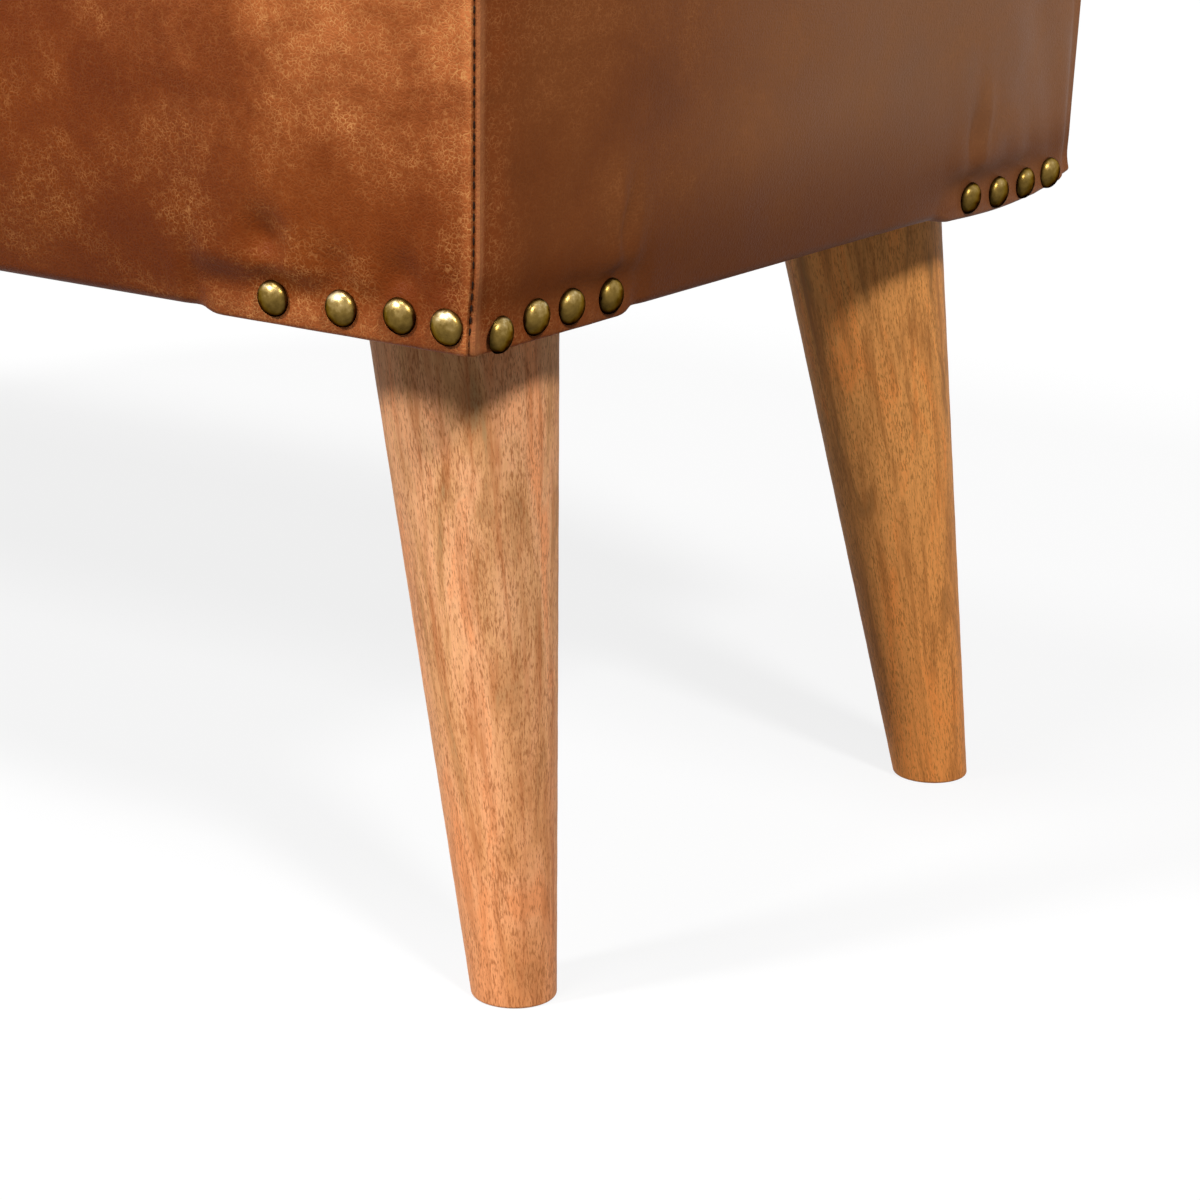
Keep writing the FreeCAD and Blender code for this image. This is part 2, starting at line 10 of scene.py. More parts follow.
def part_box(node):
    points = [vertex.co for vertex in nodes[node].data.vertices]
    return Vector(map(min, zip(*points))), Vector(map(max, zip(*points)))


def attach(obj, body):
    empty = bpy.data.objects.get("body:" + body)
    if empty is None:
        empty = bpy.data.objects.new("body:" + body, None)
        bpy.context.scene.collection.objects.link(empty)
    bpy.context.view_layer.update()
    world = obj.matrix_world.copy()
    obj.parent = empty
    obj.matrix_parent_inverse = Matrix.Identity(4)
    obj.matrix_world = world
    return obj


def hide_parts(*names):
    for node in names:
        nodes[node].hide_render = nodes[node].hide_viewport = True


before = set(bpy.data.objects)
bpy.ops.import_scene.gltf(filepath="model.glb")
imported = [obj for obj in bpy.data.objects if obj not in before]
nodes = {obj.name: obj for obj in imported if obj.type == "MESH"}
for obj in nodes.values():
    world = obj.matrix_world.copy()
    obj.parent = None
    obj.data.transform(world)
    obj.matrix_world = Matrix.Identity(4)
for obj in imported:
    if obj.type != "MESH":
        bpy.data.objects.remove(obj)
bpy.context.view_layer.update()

corners = {"front_left": (-1, -1), "front_right": (1, -1), "back_left": (-1, 1), "back_right": (1, 1)}
mm = 0.001


# Small tools

def linear(hexColour):
    parts = [int(hexColour[i:i + 2], 16) / 255 for i in (0, 2, 4)]
    return (*[p / 12.92 if p <= 0.04045 else ((p + 0.055) / 1.055) ** 2.4 for p in parts], 1.0)


def perMetre(sizeInMm):
    return 1000 / sizeInMm  # texture scale for a feature of that size, in metre coordinates


def addNode(tree, kind, inputs=None, output=None, stops=None, **settings):
    made = tree.nodes.new("ShaderNode" + kind)
    for setting, value in settings.items():
        setattr(made, setting, value)
    for name, value in (inputs or {}).items():
        socket = made.inputs[name] if isinstance(name, int) else next(
            s for s in made.inputs if s.enabled and s.name == name)
        if isinstance(value, bpy.types.NodeSocket):
            tree.links.new(value, socket)
        else:
            socket.default_value = value
    for i, (place, colour) in enumerate(stops or []):
        element = made.color_ramp.elements[i] if i < 2 else made.color_ramp.elements.new(place)
        element.position = place
        element.color = linear(colour)
    shown = [s for s in made.outputs if s.enabled]
    return next((s for s in shown if s.name == output), shown[0] if shown else None)


def newMaterial(name):
    made = bpy.data.materials.new(name)
    made.use_nodes = True
    made.node_tree.nodes.clear()
    return made, made.node_tree


def patternedMaterial(name):
    # a new material, its nodes, and places in the piece's own metres for its patterns
    made, tree = newMaterial(name)
    return made, tree, addNode(tree, "TexCoord", output="Object")


def smooth(x):
    x = np.clip(x, 0, 1)
    return x * x * (3 - 2 * x)


def bell(x, middle, width):
    return np.exp(-((x - middle) / width) ** 2)


def spaced(length, stepAt):
    # places from 0 to length whose spacing follows stepAt(place)
    x = np.linspace(0, length, 4001)
    density = 1 / stepAt(x)
    count = np.concatenate([[0], np.cumsum((density[1:] + density[:-1]) / 2 * np.diff(x))])
    return np.interp(np.linspace(0, count[-1], int(round(count[-1])) + 1), count, x)


def link(name, mesh, material):
    made = bpy.data.objects.new(name, mesh)
    bpy.context.scene.collection.objects.link(made)
    mesh.materials.append(material)
    return made


def meshFrom(name, points, faces, sharpAngle=40):
    mesh = bpy.data.meshes.new(name)
    mesh.from_pydata([tuple(p) for p in points], [], [tuple(f) for f in faces])
    mesh.validate()
    mesh.shade_smooth()
    mesh.set_sharp_from_angle(angle=math.radians(sharpAngle))
    return mesh


def gridFaces(rows, columns, start=0):
    index = start + np.arange(rows * columns).reshape(rows, columns)
    return np.stack([index[:-1, :-1], index[:-1, 1:], index[1:, 1:], index[1:, :-1]], -1).reshape(-1, 4)


def skinMesh(name, outer, inner):
    # closed skin between two grids of points
    rows, columns = outer.shape[:2]
    size = rows * columns
    index = np.arange(size).reshape(rows, columns)
    rim = np.concatenate([index[0, :-1], index[:-1, -1], index[-1, :0:-1], index[:0:-1, 0]])
    after = np.roll(rim, -1)
    front, back = gridFaces(rows, columns), gridFaces(rows, columns, size)[:, ::-1]
    walls = np.stack([after, rim, rim + size, after + size], -1)
    faces = np.concatenate([front, back, walls])
    points = np.concatenate([outer.reshape(-1, 3), inner.reshape(-1, 3)])
    middle = outer[rows // 2, columns // 2] - inner[rows // 2, columns // 2]
    across = outer[rows // 2, columns // 2 + 1] - outer[rows // 2, columns // 2]
    down = outer[rows // 2 + 1, columns // 2] - outer[rows // 2, columns // 2]
    if np.dot(np.cross(across, down), middle) < 0:
        faces = faces[:, ::-1]
    return meshFrom(name, points, faces)


def addPointValues(mesh, name, values):
    attribute = mesh.attributes.new(name, "FLOAT", "POINT")
    attribute.data.foreach_set("value", np.asarray(values, np.float32).ravel())


def joinedParts(parts):
    # (points, faces) of many small pieces as one
    points, faces, start = [], [], 0
    for partPoints, partFaces in parts:
        points.append(partPoints)
        faces += [tuple(i + start for i in f) for f in partFaces]
        start += len(partPoints)
    return np.concatenate(points), faces


def lathe(profile, segments):
    # (radius, height) pairs turned about Z; a radius of 0 closes the end
    turn = np.linspace(0, 2 * math.pi, segments, endpoint=False)
    points, rings = [], []
    for radius, height in profile:
        if radius == 0:
            rings.append([len(points)])
            points.append((0, 0, height))
            continue
        rings.append(list(range(len(points), len(points) + segments)))
        points += [(radius * math.cos(a), radius * math.sin(a), height) for a in turn]
    faces = []
    for low, high in zip(rings[:-1], rings[1:]):
        for i in range(segments):
            j = (i + 1) % segments
            if len(low) == 1:
                faces.append((low[0], high[j], high[i]))
            elif len(high) == 1:
                faces.append((low[i], low[j], high[0]))
            else:
                faces.append((low[i], low[j], high[j], high[i]))
    return np.array(points, float), faces


def frameAlong(axis):
    # columns: two cross directions and the axis
    return np.array(Vector(axis).to_track_quat("Z", "Y").to_matrix())


# Materials

# Leather tones: the tone of pulled leather also serves as painted light, the edge tone is a painted highlight
# on the rolled seam edges, the pale greyish brown is a painted sheen, and the dark tone is the colour of the
# painted shade.
leatherTones = {
    "dark": "4a1e07", "deep": "63290a", "brown": "6c2f0c", "tan": "76360f", "light": "8a4516",
    "crease": "c98b52", "pullAndLight": "b96938", "edge": "c27442", "paintedSheen": "8c6848",
    "paintedSheenShare": 0.0, "shine": 0.06, "worn": 0.75,
}
# The ends' tones are duller and greyer than the long sides', partly as painted sheen for the glancing view of
# the ends.
endTones = {
    "dark": "4a1f08", "deep": "6a3416", "brown": "743c1b", "tan": "7a421f", "light": "864c26",
    "crease": "b07142", "pullAndLight": "863d17", "edge": "a0603a", "paintedSheen": "926c4a",
    "paintedSheenShare": 0.45, "shine": 0.09, "worn": 0.26,
}


def waxedLeather(name, tones):
    # Waxed aniline cow hide, drum dyed: cloudy brown with fine pale creases, lighter where it is stretched,
    # with painted light, painted shade and painted sheen mixed into its colour.
    made, tree, place = patternedMaterial(name)
    cloud = addNode(tree, "TexNoise", {"Vector": place, "Scale": perMetre(85), "Detail": 3.0})
    patch = addNode(tree, "TexNoise", {
        "Vector": place, "Scale": perMetre(32), "Detail": 8.0, "Roughness": 0.62, "Distortion": 0.3})
    blend = addNode(tree, "Math", {0: cloud, 1: patch}, operation="ADD")
    half = addNode(tree, "Math", {0: blend, 1: 0.5}, operation="MULTIPLY")
    dye = addNode(tree, "ValToRGB", {"Fac": half}, stops=[
        (0.34, tones["deep"]), (0.70, tones["light"]), (0.46, tones["brown"]), (0.56, tones["tan"])])
    # leather lightens in clouds where it is pulled over an edge, a nail or a seam; the same mask also carries
    # painted light, paler towards the top near the corners, on the nailed lips and beside the front seams,
    # and its edge tone is a painted highlight on the rolled seam edges
    pullAndLight = addNode(tree, "Attribute", output="Fac", attribute_name="pullAndLight")
    uneven = addNode(tree, "MapRange", {
        "Value": patch, "From Min": 0.38, "From Max": 0.64, "To Min": 0.3, "To Max": 1.65})
    pullLightShare = addNode(tree, "Math", {0: pullAndLight, 1: uneven}, operation="MULTIPLY")
    pullLightTone = addNode(tree, "ValToRGB", {"Fac": pullAndLight}, stops=[(0.5, tones["pullAndLight"]), (0.9, tones["edge"])])
    pulledAndLit = addNode(tree, "Mix", {"Factor": pullLightShare, "A": dye, "B": pullLightTone}, data_type="RGBA")
    # grain cells of 1.4 mm, with pale creases where the wax is worn
    waver = addNode(tree, "TexNoise", {"Vector": place, "Scale": perMetre(4), "Detail": 5.0}, output="Color")
    bent = addNode(tree, "VectorMath", {0: waver, 1: (0.004,) * 3, 2: place}, operation="MULTIPLY_ADD")
    cells = addNode(tree, "TexVoronoi", {"Vector": bent, "Scale": perMetre(1.4)}, feature="DISTANCE_TO_EDGE")
    creases = addNode(tree, "MapRange", {"Value": cells, "From Max": 0.13, "To Min": 1.0, "To Max": 0.0})
    bare = addNode(tree, "MapRange", {
        "Value": patch, "From Min": 0.46, "From Max": 0.68, "To Min": 0.08, "To Max": 0.08 + tones["worn"]})
    worn = addNode(tree, "Math", {0: pullLightShare, 1: 0.9, 2: bare}, operation="MULTIPLY_ADD")
    fine = addNode(tree, "TexNoise", {
        "Vector": place, "Scale": perMetre(2.6), "Detail": 5.0, "Roughness": 0.7})
    broken = addNode(tree, "MapRange", {"Value": fine, "From Min": 0.38, "From Max": 0.62})
    shown = addNode(tree, "Math", {0: worn, 1: broken}, operation="MULTIPLY")
    share = addNode(tree, "Math", {0: shown, 1: creases}, operation="MULTIPLY")
    creased = addNode(tree, "Mix", {
        "Factor": share, "A": pulledAndLit, "B": linear(tones["crease"])}, data_type="RGBA")
    # painted sheen: the colour is mixed towards a pale greyish brown where the mask is high, standing in for
    # the sheen on the ends seen at a glancing view; the same mask also raises the specular level
    glossAndSheen = addNode(tree, "Attribute", output="Fac", attribute_name="glossAndSheen")
    sheenMix = addNode(tree, "MapRange", {"Value": glossAndSheen, "To Max": tones["paintedSheenShare"]})
    sheened = addNode(tree, "Mix", {
        "Factor": sheenMix, "A": creased, "B": linear(tones["paintedSheen"])}, data_type="RGBA")
    # painted shade: mixed towards the dark tone towards the foot of each face, in the fold above the nailed
    # lips and in the seam grooves
    paintedShade = addNode(tree, "Attribute", output="Fac", attribute_name="paintedShade")
    colour = addNode(tree, "Mix", {
        "Factor": paintedShade, "A": sheened, "B": linear(tones["dark"])}, data_type="RGBA")
    pebble = addNode(tree, "MapRange", {"Value": cells, "From Max": 0.3})
    relief = addNode(tree, "Math", {0: fine, 1: 0.6, 2: pebble}, operation="MULTIPLY_ADD")
    grain = addNode(tree, "Bump", {"Height": relief, "Strength": 0.3, "Distance": 0.0003}, output="Normal")
    gloss = addNode(tree, "MapRange", {
        "Value": patch, "From Min": 0.35, "From Max": 0.7, "To Min": 0.4, "To Max": 0.56})
    shine = addNode(tree, "MapRange", {"Value": glossAndSheen, "To Max": tones["shine"]})
    skin = addNode(tree, "BsdfPrincipled", {
        "Base Color": colour, "Roughness": gloss, "IOR": 1.5, "Specular IOR Level": shine, "Normal": grain})
    addNode(tree, "OutputMaterial", {"Surface": skin})
    return made


def antiqueBrass():
    # Pressed brass, chemically aged: olive gold on the worn crown, dark brown at the rim. The pale cream top
    # tone is partly a painted highlight, and the point values also paint the upper half lighter as painted
    # light and the nails of the ends darker as painted shade.
    made, tree, place = patternedMaterial("antique_brass")
    stain = addNode(tree, "TexNoise", {
        "Vector": place, "Scale": perMetre(2.5), "Detail": 5.0, "Roughness": 0.6})
    wearAndLight = addNode(tree, "Attribute", output="Fac", attribute_name="wearAndLight")
    shade = addNode(tree, "Math", {0: stain, 1: 0.5, 2: wearAndLight}, operation="MULTIPLY_ADD")
    tone = addNode(tree, "ValToRGB", {"Fac": shade}, stops=[
        (0.3, "30230c"), (1.0, "e0cea2"), (0.53, "58441d"), (0.74, "7b6330"), (0.88, "a48a54")])
    rough = addNode(tree, "MapRange", {
        "Value": stain, "From Min": 0.3, "From Max": 0.7, "To Min": 0.26, "To Max": 0.38})
    dents = addNode(tree, "Bump", {"Height": stain, "Strength": 0.12, "Distance": 0.0005}, output="Normal")
    metal = addNode(tree, "BsdfPrincipled", {
        "Base Color": tone, "Metallic": 1.0, "Roughness": rough, "Normal": dents,
        "Specular Tint": linear("5c4a2a")})  # the tarnish darkens what glances off the rim
    addNode(tree, "OutputMaterial", {"Surface": metal})
    return made


def mangoWood(name, tones):
    # Turned mango wood under a thin wax: peach tan with short dark pores and olive clouds along the grain.
    made, tree, place = patternedMaterial(name)
    grain = {}
    for word, width, length, detail, distortion in (
            ("figure", 17, 80, 6.0, 1.1), ("streak", 4.5, 170, 5.0, 0.4), ("pore", 0.5, 2.6, 2.0, 0.0),
            ("fleck", 0.8, 14.0, 3.0, 0.3), ("field", 10, 34, 4.0, 0.6)):
        scaled = addNode(tree, "Mapping", {
            "Vector": place, "Location": (tones["start"], 0, 0),
            "Scale": (perMetre(width), perMetre(width), perMetre(length))})
        grain[word] = addNode(tree, "TexNoise", {
            "Vector": scaled, "Scale": 1.0, "Detail": detail, "Roughness": 0.62, "Distortion": distortion})
    base = addNode(tree, "ValToRGB", {"Fac": grain["figure"]}, stops=[
        (0.32, tones["olive"]), (0.64, tones["pink"]), (0.39, tones["brown"]),
        (0.43, tones["tan"]), (0.53, tones["peach"])])
    # redder towards the foot
    height = addNode(tree, "SeparateXYZ", {"Vector": place}, output="Z")
    foot = addNode(tree, "MapRange", {"Value": height, "From Max": 0.13, "To Min": 0.6, "To Max": 0.0})
    colour = addNode(tree, "Mix", {"Factor": foot, "A": base, "B": linear(tones["foot"])}, data_type="RGBA")
    # dark streaks and flecks, then pores, which lie in fields and are dents too
    fields = addNode(tree, "Math", {0: grain["field"], 1: 0.3, 2: grain["pore"]}, operation="MULTIPLY_ADD")
    for noise, start, full, most, tone in (
            (grain["streak"], 0.5, 0.66, 0.75, "streak"), (grain["fleck"], 0.5, 0.72, 0.45, "streak"),
            (fields, 0.65, 0.81, 0.75, "pore")):
        marks = addNode(tree, "MapRange", {
            "Value": noise, "From Min": start, "From Max": full, "To Max": most})
        colour = addNode(tree, "Mix", {
            "Factor": marks, "A": colour, "B": linear(tones[tone])}, data_type="RGBA")
    relief = addNode(tree, "Bump", {
        "Height": marks, "Strength": 0.2, "Distance": 0.0003}, output="Normal", invert=True)
    wood = addNode(tree, "BsdfPrincipled", {
        "Base Color": colour, "Roughness": 0.55, "IOR": 1.5, "Specular IOR Level": 0.15, "Normal": relief})
    addNode(tree, "OutputMaterial", {"Surface": wood})
    return made


def sawnPine(name, grain):
    # Sawn pine, unfinished: pale yellow with brown late-wood bands along the board.
    made, tree, place = patternedMaterial(name)
    stretch = [perMetre(6)] * 3
    stretch[grain] = perMetre(260)
    scaled = addNode(tree, "Mapping", {"Vector": place, "Scale": tuple(stretch)})
    rings = addNode(tree, "TexNoise", {"Vector": scaled, "Scale": 1.0, "Detail": 3.0, "Distortion": 0.6})
    tone = addNode(tree, "ValToRGB", {"Fac": rings}, stops=[
        (0.35, "e2c08c"), (0.68, "b98549"), (0.55, "d8b27a")])
    saw = addNode(tree, "TexNoise", {"Vector": place, "Scale": perMetre(1.5), "Detail": 4.0})
    relief = addNode(tree, "Bump", {"Height": saw, "Strength": 0.3, "Distance": 0.0004}, output="Normal")
    wood = addNode(tree, "BsdfPrincipled", {
        "Base Color": tone, "Roughness": 0.75, "IOR": 1.5, "Normal": relief})
    addNode(tree, "OutputMaterial", {"Surface": wood})
    return made


def birchPlywood():
    # Birch plywood: pale faces with faint flame, and layers of 1.5 mm on its edges.
    made, tree, place = patternedMaterial("birch_plywood")
    scaled = addNode(tree, "Mapping", {
        "Vector": place, "Scale": (perMetre(300), perMetre(18), perMetre(1.5))})
    flame = addNode(tree, "TexNoise", {"Vector": scaled, "Scale": 1.0, "Detail": 4.0, "Distortion": 0.4})
    tone = addNode(tree, "ValToRGB", {"Fac": flame}, stops=[
        (0.3, "c79f68"), (0.7, "ead0a2"), (0.5, "dcbd8b")])
    relief = addNode(tree, "Bump", {"Height": flame, "Strength": 0.15, "Distance": 0.0003}, output="Normal")
    wood = addNode(tree, "BsdfPrincipled", {
        "Base Color": tone, "Roughness": 0.65, "IOR": 1.5, "Normal": relief})
    addNode(tree, "OutputMaterial", {"Surface": wood})
    return made


def zincSteel():
    # Zinc-plated steel: bright grey with a faint blue cast and cloudy plating.
    made, tree, place = patternedMaterial("zinc_plated_steel")
    cloud = addNode(tree, "TexNoise", {"Vector": place, "Scale": perMetre(4), "Detail": 5.0})
    tone = addNode(tree, "ValToRGB", {"Fac": cloud}, stops=[(0.3, "9a9ea3"), (0.7, "c9cccf")])
    rough = addNode(tree, "MapRange", {"Value": cloud, "To Min": 0.28, "To Max": 0.45})
    metal = addNode(tree, "BsdfPrincipled", {"Base Color": tone, "Metallic": 1.0, "Roughness": rough})
    addNode(tree, "OutputMaterial", {"Surface": metal})
    return made


def softFill(name, tones, cellSize):
    # Cut foam or carded fibre: matt, with cells or tufts of the given size.
    made, tree, place = patternedMaterial(name)
    cells = addNode(tree, "TexVoronoi", {"Vector": place, "Scale": perMetre(cellSize)}, output="Distance")
    cloud = addNode(tree, "TexNoise", {"Vector": place, "Scale": perMetre(40), "Detail": 4.0})
    both = addNode(tree, "Math", {0: cells, 1: 0.4, 2: cloud}, operation="MULTIPLY_ADD")
    tone = addNode(tree, "ValToRGB", {"Fac": both}, stops=[(0.35, tones[0]), (0.85, tones[1])])
    relief = addNode(tree, "Bump", {"Height": cells, "Strength": 0.5, "Distance": 0.001}, output="Normal")
    fill = addNode(tree, "BsdfPrincipled", {
        "Base Color": tone, "Roughness": 0.95, "IOR": 1.5, "Normal": relief})
    addNode(tree, "OutputMaterial", {"Surface": fill})
    return made


def nonWovenCloth():
    # Spun-bonded polypropylene: black, with a grid of bond points, drawn at 2.4 mm so that they show.
    made, tree, place = patternedMaterial("spun_bonded_cloth")
    bonds = addNode(tree, "TexVoronoi", {
        "Vector": place, "Scale": perMetre(2.4), "Randomness": 0.15}, output="Distance")
    fibre = addNode(tree, "TexNoise", {"Vector": place, "Scale": perMetre(0.9), "Detail": 5.0})
    tone = addNode(tree, "ValToRGB", {"Fac": fibre}, stops=[(0.35, "17171a"), (0.7, "33343a")])
    relief = addNode(tree, "Bump", {"Height": bonds, "Strength": 0.4, "Distance": 0.0004}, output="Normal")
    cloth = addNode(tree, "BsdfPrincipled", {
        "Base Color": tone, "Roughness": 0.9, "IOR": 1.5, "Normal": relief})
    addNode(tree, "OutputMaterial", {"Surface": cloth})
    return made


def waxedThread():
    # Waxed bonded nylon: near-black brown, twisted, with a slight shine.
    made, tree, place = patternedMaterial("waxed_thread")
    twist = addNode(tree, "TexNoise", {"Vector": place, "Scale": perMetre(0.5), "Detail": 2.0})
    tone = addNode(tree, "ValToRGB", {"Fac": twist}, stops=[(0.35, "150a04"), (0.7, "2e190c")])
    relief = addNode(tree, "Bump", {"Height": twist, "Strength": 0.3, "Distance": 0.0002}, output="Normal")
    thread = addNode(tree, "BsdfPrincipled", {
        "Base Color": tone, "Roughness": 0.5, "IOR": 1.53, "Specular IOR Level": 0.1, "Normal": relief})
    addNode(tree, "OutputMaterial", {"Surface": thread})
    return made


leather = waxedLeather("waxed_leather", leatherTones)
endLeather = waxedLeather("waxed_leather_ends", endTones)
brass = antiqueBrass()
mango = mangoWood("mango_wood", {
    "olive": "b3885a", "brown": "c98f5d", "tan": "dba06c", "peach": "ecad7c", "pink": "ee9f6a",
    "streak": "b97040", "pore": "98592e", "foot": "dd8850", "start": 11.0})
mangoDark = mangoWood("mango_heartwood", {
    "olive": "966b3b", "brown": "b97c42", "tan": "d38f4d", "peach": "e49b54", "pink": "ea934a",
    "streak": "a86731", "pore": "96602d", "foot": "e58a41", "start": 12.5})
pineAcross, pineAlong = sawnPine("sawn_pine_across", 1), sawnPine("sawn_pine_along", 0)
plywood = birchPlywood()
zinc = zincSteel()
foam = softFill("polyether_foam", ("d9cf9e", "efe8c4"), 1.6)
wadding = softFill("polyester_wadding", ("d8d9da", "f2f3f3"), 3.5)
dustCloth = nonWovenCloth()
thread = waxedThread()
print("materials made")


# Frame pieces keep their solids

carried = {
    pineAlong: ["front_rail", "back_rail"],
    pineAcross: ["left_end_rail", "right_end_rail", "left_cross_rail", "right_cross_rail"],
    plywood: ["seat_deck"],
    zinc: ["frame_screws", "block_screws", "deck_screws", "hem_staples", "dust_cover_staples"],
}
for corner in corners:
    carried[pineAlong].append("corner_block_" + corner)
    carried[zinc] += ["hanger_bolt_" + corner, "tee_nut_" + corner]
for material, names in carried.items():
    for name in names:
        nodes[name].data.materials.clear()
        nodes[name].data.materials.append(material)
print("frame pieces dressed")


# Nails: seat, axis and size of each one, read from its solid

def nailPlaces(node):
    work = bmesh.new()
    work.from_mesh(node.data)
    bmesh.ops.remove_doubles(work, verts=work.verts, dist=1e-6)
    left, found = set(work.verts), []
    while left:
        island, edge = [], [left.pop()]
        while edge:
            vert = edge.pop()
            island.append(vert.co.copy())
            for other in (e.other_vert(vert) for e in vert.link_edges):
                if other in left:
                    left.remove(other)
                    edge.append(other)
        points = np.array(island)
        tip = points[np.argmax(np.linalg.norm(points - points.mean(0), axis=1))]
        apex = points[np.argmax(np.linalg.norm(points - tip, axis=1))]
        length = np.linalg.norm(apex - tip)
        axis = (apex - tip) / length
        height = (points - tip) @ axis
        radius = np.linalg.norm(points - tip - np.outer(height, axis), axis=1)
        rim = height[np.argmax(radius)]
        found.append({
            "seat": tip + axis * rim, "axis": axis, "radius": radius.max(),
            "dome": length - rim, "shank": rim})
    work.free()
    return sorted(found, key=lambda nail: tuple(np.round(nail["seat"], 5)))


nailSizes = {
    "segments": 40, "rimThickness": 0.5 * mm, "shankRadius": 0.9 * mm, "point": 5 * mm,
    "tilt": 0.035, "cornerTurn": 0.16, "inward": 0.8 * mm, "seed": 7,
}
# brightness of the nails: rubbed wear on the crown, which is also partly a painted highlight, painted light
# on the upper half and painted shade on the nails of the ends
nailWearAndLight = {"least": 0.095, "crown": 0.36, "upper": 0.33, "uneven": 0.05, "paintedShadeOnEnds": 0.07}
nailShifts = {  # set one by one, so each nail sits a little off its mark: rise, in order from the corner
    "long": (0.4 * mm, 1.5 * mm, 0.8 * mm, 0.4 * mm),
    "front": (0.0, -0.3 * mm, -0.1 * mm, -0.3 * mm),
    "back": (2.2 * mm, -1.8 * mm, -2.4 * mm, -1.7 * mm),
}
nailsAt = {corner: nailPlaces(nodes["nails_" + corner]) for corner in corners}
for corner, found in nailsAt.items():
    for onEnd in (False, True):
        row = [n for n in found if (abs(n["axis"][0]) > 0.7) == onEnd]
        along = 1 if onEnd else 0
        word = corner.split("_")[0] if onEnd else "long"
        for rank, nail in enumerate(sorted(row, key=lambda n: -abs(n["seat"][along]))):
            nail["rank"], nail["onEnd"] = rank, onEnd
            nail["seat"][2] += nailShifts[word][rank]
            if word == "long":
                nail["seat"][along] -= math.copysign(nailSizes["inward"], nail["seat"][along])


def nailShape(nail):
    radius, dome, shank = nail["radius"], nail["dome"], nail["shank"]
    rim, shankRadius = nailSizes["rimThickness"], nailSizes["shankRadius"]
    profile = [(0, -shank), (shankRadius, nailSizes["point"] - shank), (shankRadius, 0)]
    profile += [
        (radius * 0.93, -0.1 * mm), (radius * 0.985, 0.02 * mm), (radius, 0.25 * mm), (radius * 0.995, rim)]
    for angle in np.radians(np.linspace(8, 90, 14)):
        profile.append((radius * 0.99 * math.cos(angle), rim + (dome - rim) * math.sin(angle)))
    profile[-1] = (0, dome)
    return lathe(profile, nailSizes["segments"])


def makeNails(corner):
    draw = np.random.default_rng(nailSizes["seed"] + sorted(corners).index(corner))
    parts, wearAndLight = [], []
    for nail in nailsAt[corner]:
        points, faces = nailShape(nail)
        crown = np.clip(points[:, 2] / nail["dome"], 0, 1)
        lean = nail["axis"] + draw.normal(0, nailSizes["tilt"], 3)
        if nail["onEnd"] and nail["rank"] == 0:
            lean[1] -= math.copysign(nailSizes["cornerTurn"], nail["seat"][1])  # lifted by the seam beside it
        placed = points @ frameAlong(lean).T + nail["seat"]
        # brighter on the crown, partly rubbed and partly a painted highlight, and on the upper half as
        # painted light
        upper = np.clip((placed[:, 2] - nail["seat"][2]) / nail["radius"], -1, 1)
        rubbedAndLit = nailWearAndLight["least"] + nailWearAndLight["crown"] * smooth(crown / 0.7) + nailWearAndLight["upper"] * upper
        rubbedAndLit = rubbedAndLit + draw.uniform(-nailWearAndLight["uneven"], nailWearAndLight["uneven"])
        # painted shade: the nails on the ends are made darker
        wearAndLight.append(np.clip(rubbedAndLit - (nailWearAndLight["paintedShadeOnEnds"] if nail["onEnd"] else 0), 0, 1))
        parts.append((placed, faces))
    mesh = meshFrom("nails_" + corner, *joinedParts(parts), sharpAngle=60)
    addPointValues(mesh, "wearAndLight", np.concatenate(wearAndLight))
    made = link("brass_nails_" + corner, mesh, brass)
    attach(made, "root")
    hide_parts("nails_" + corner)


for corner in corners:
    makeNails(corner)
print("nails made")


# Leather cover

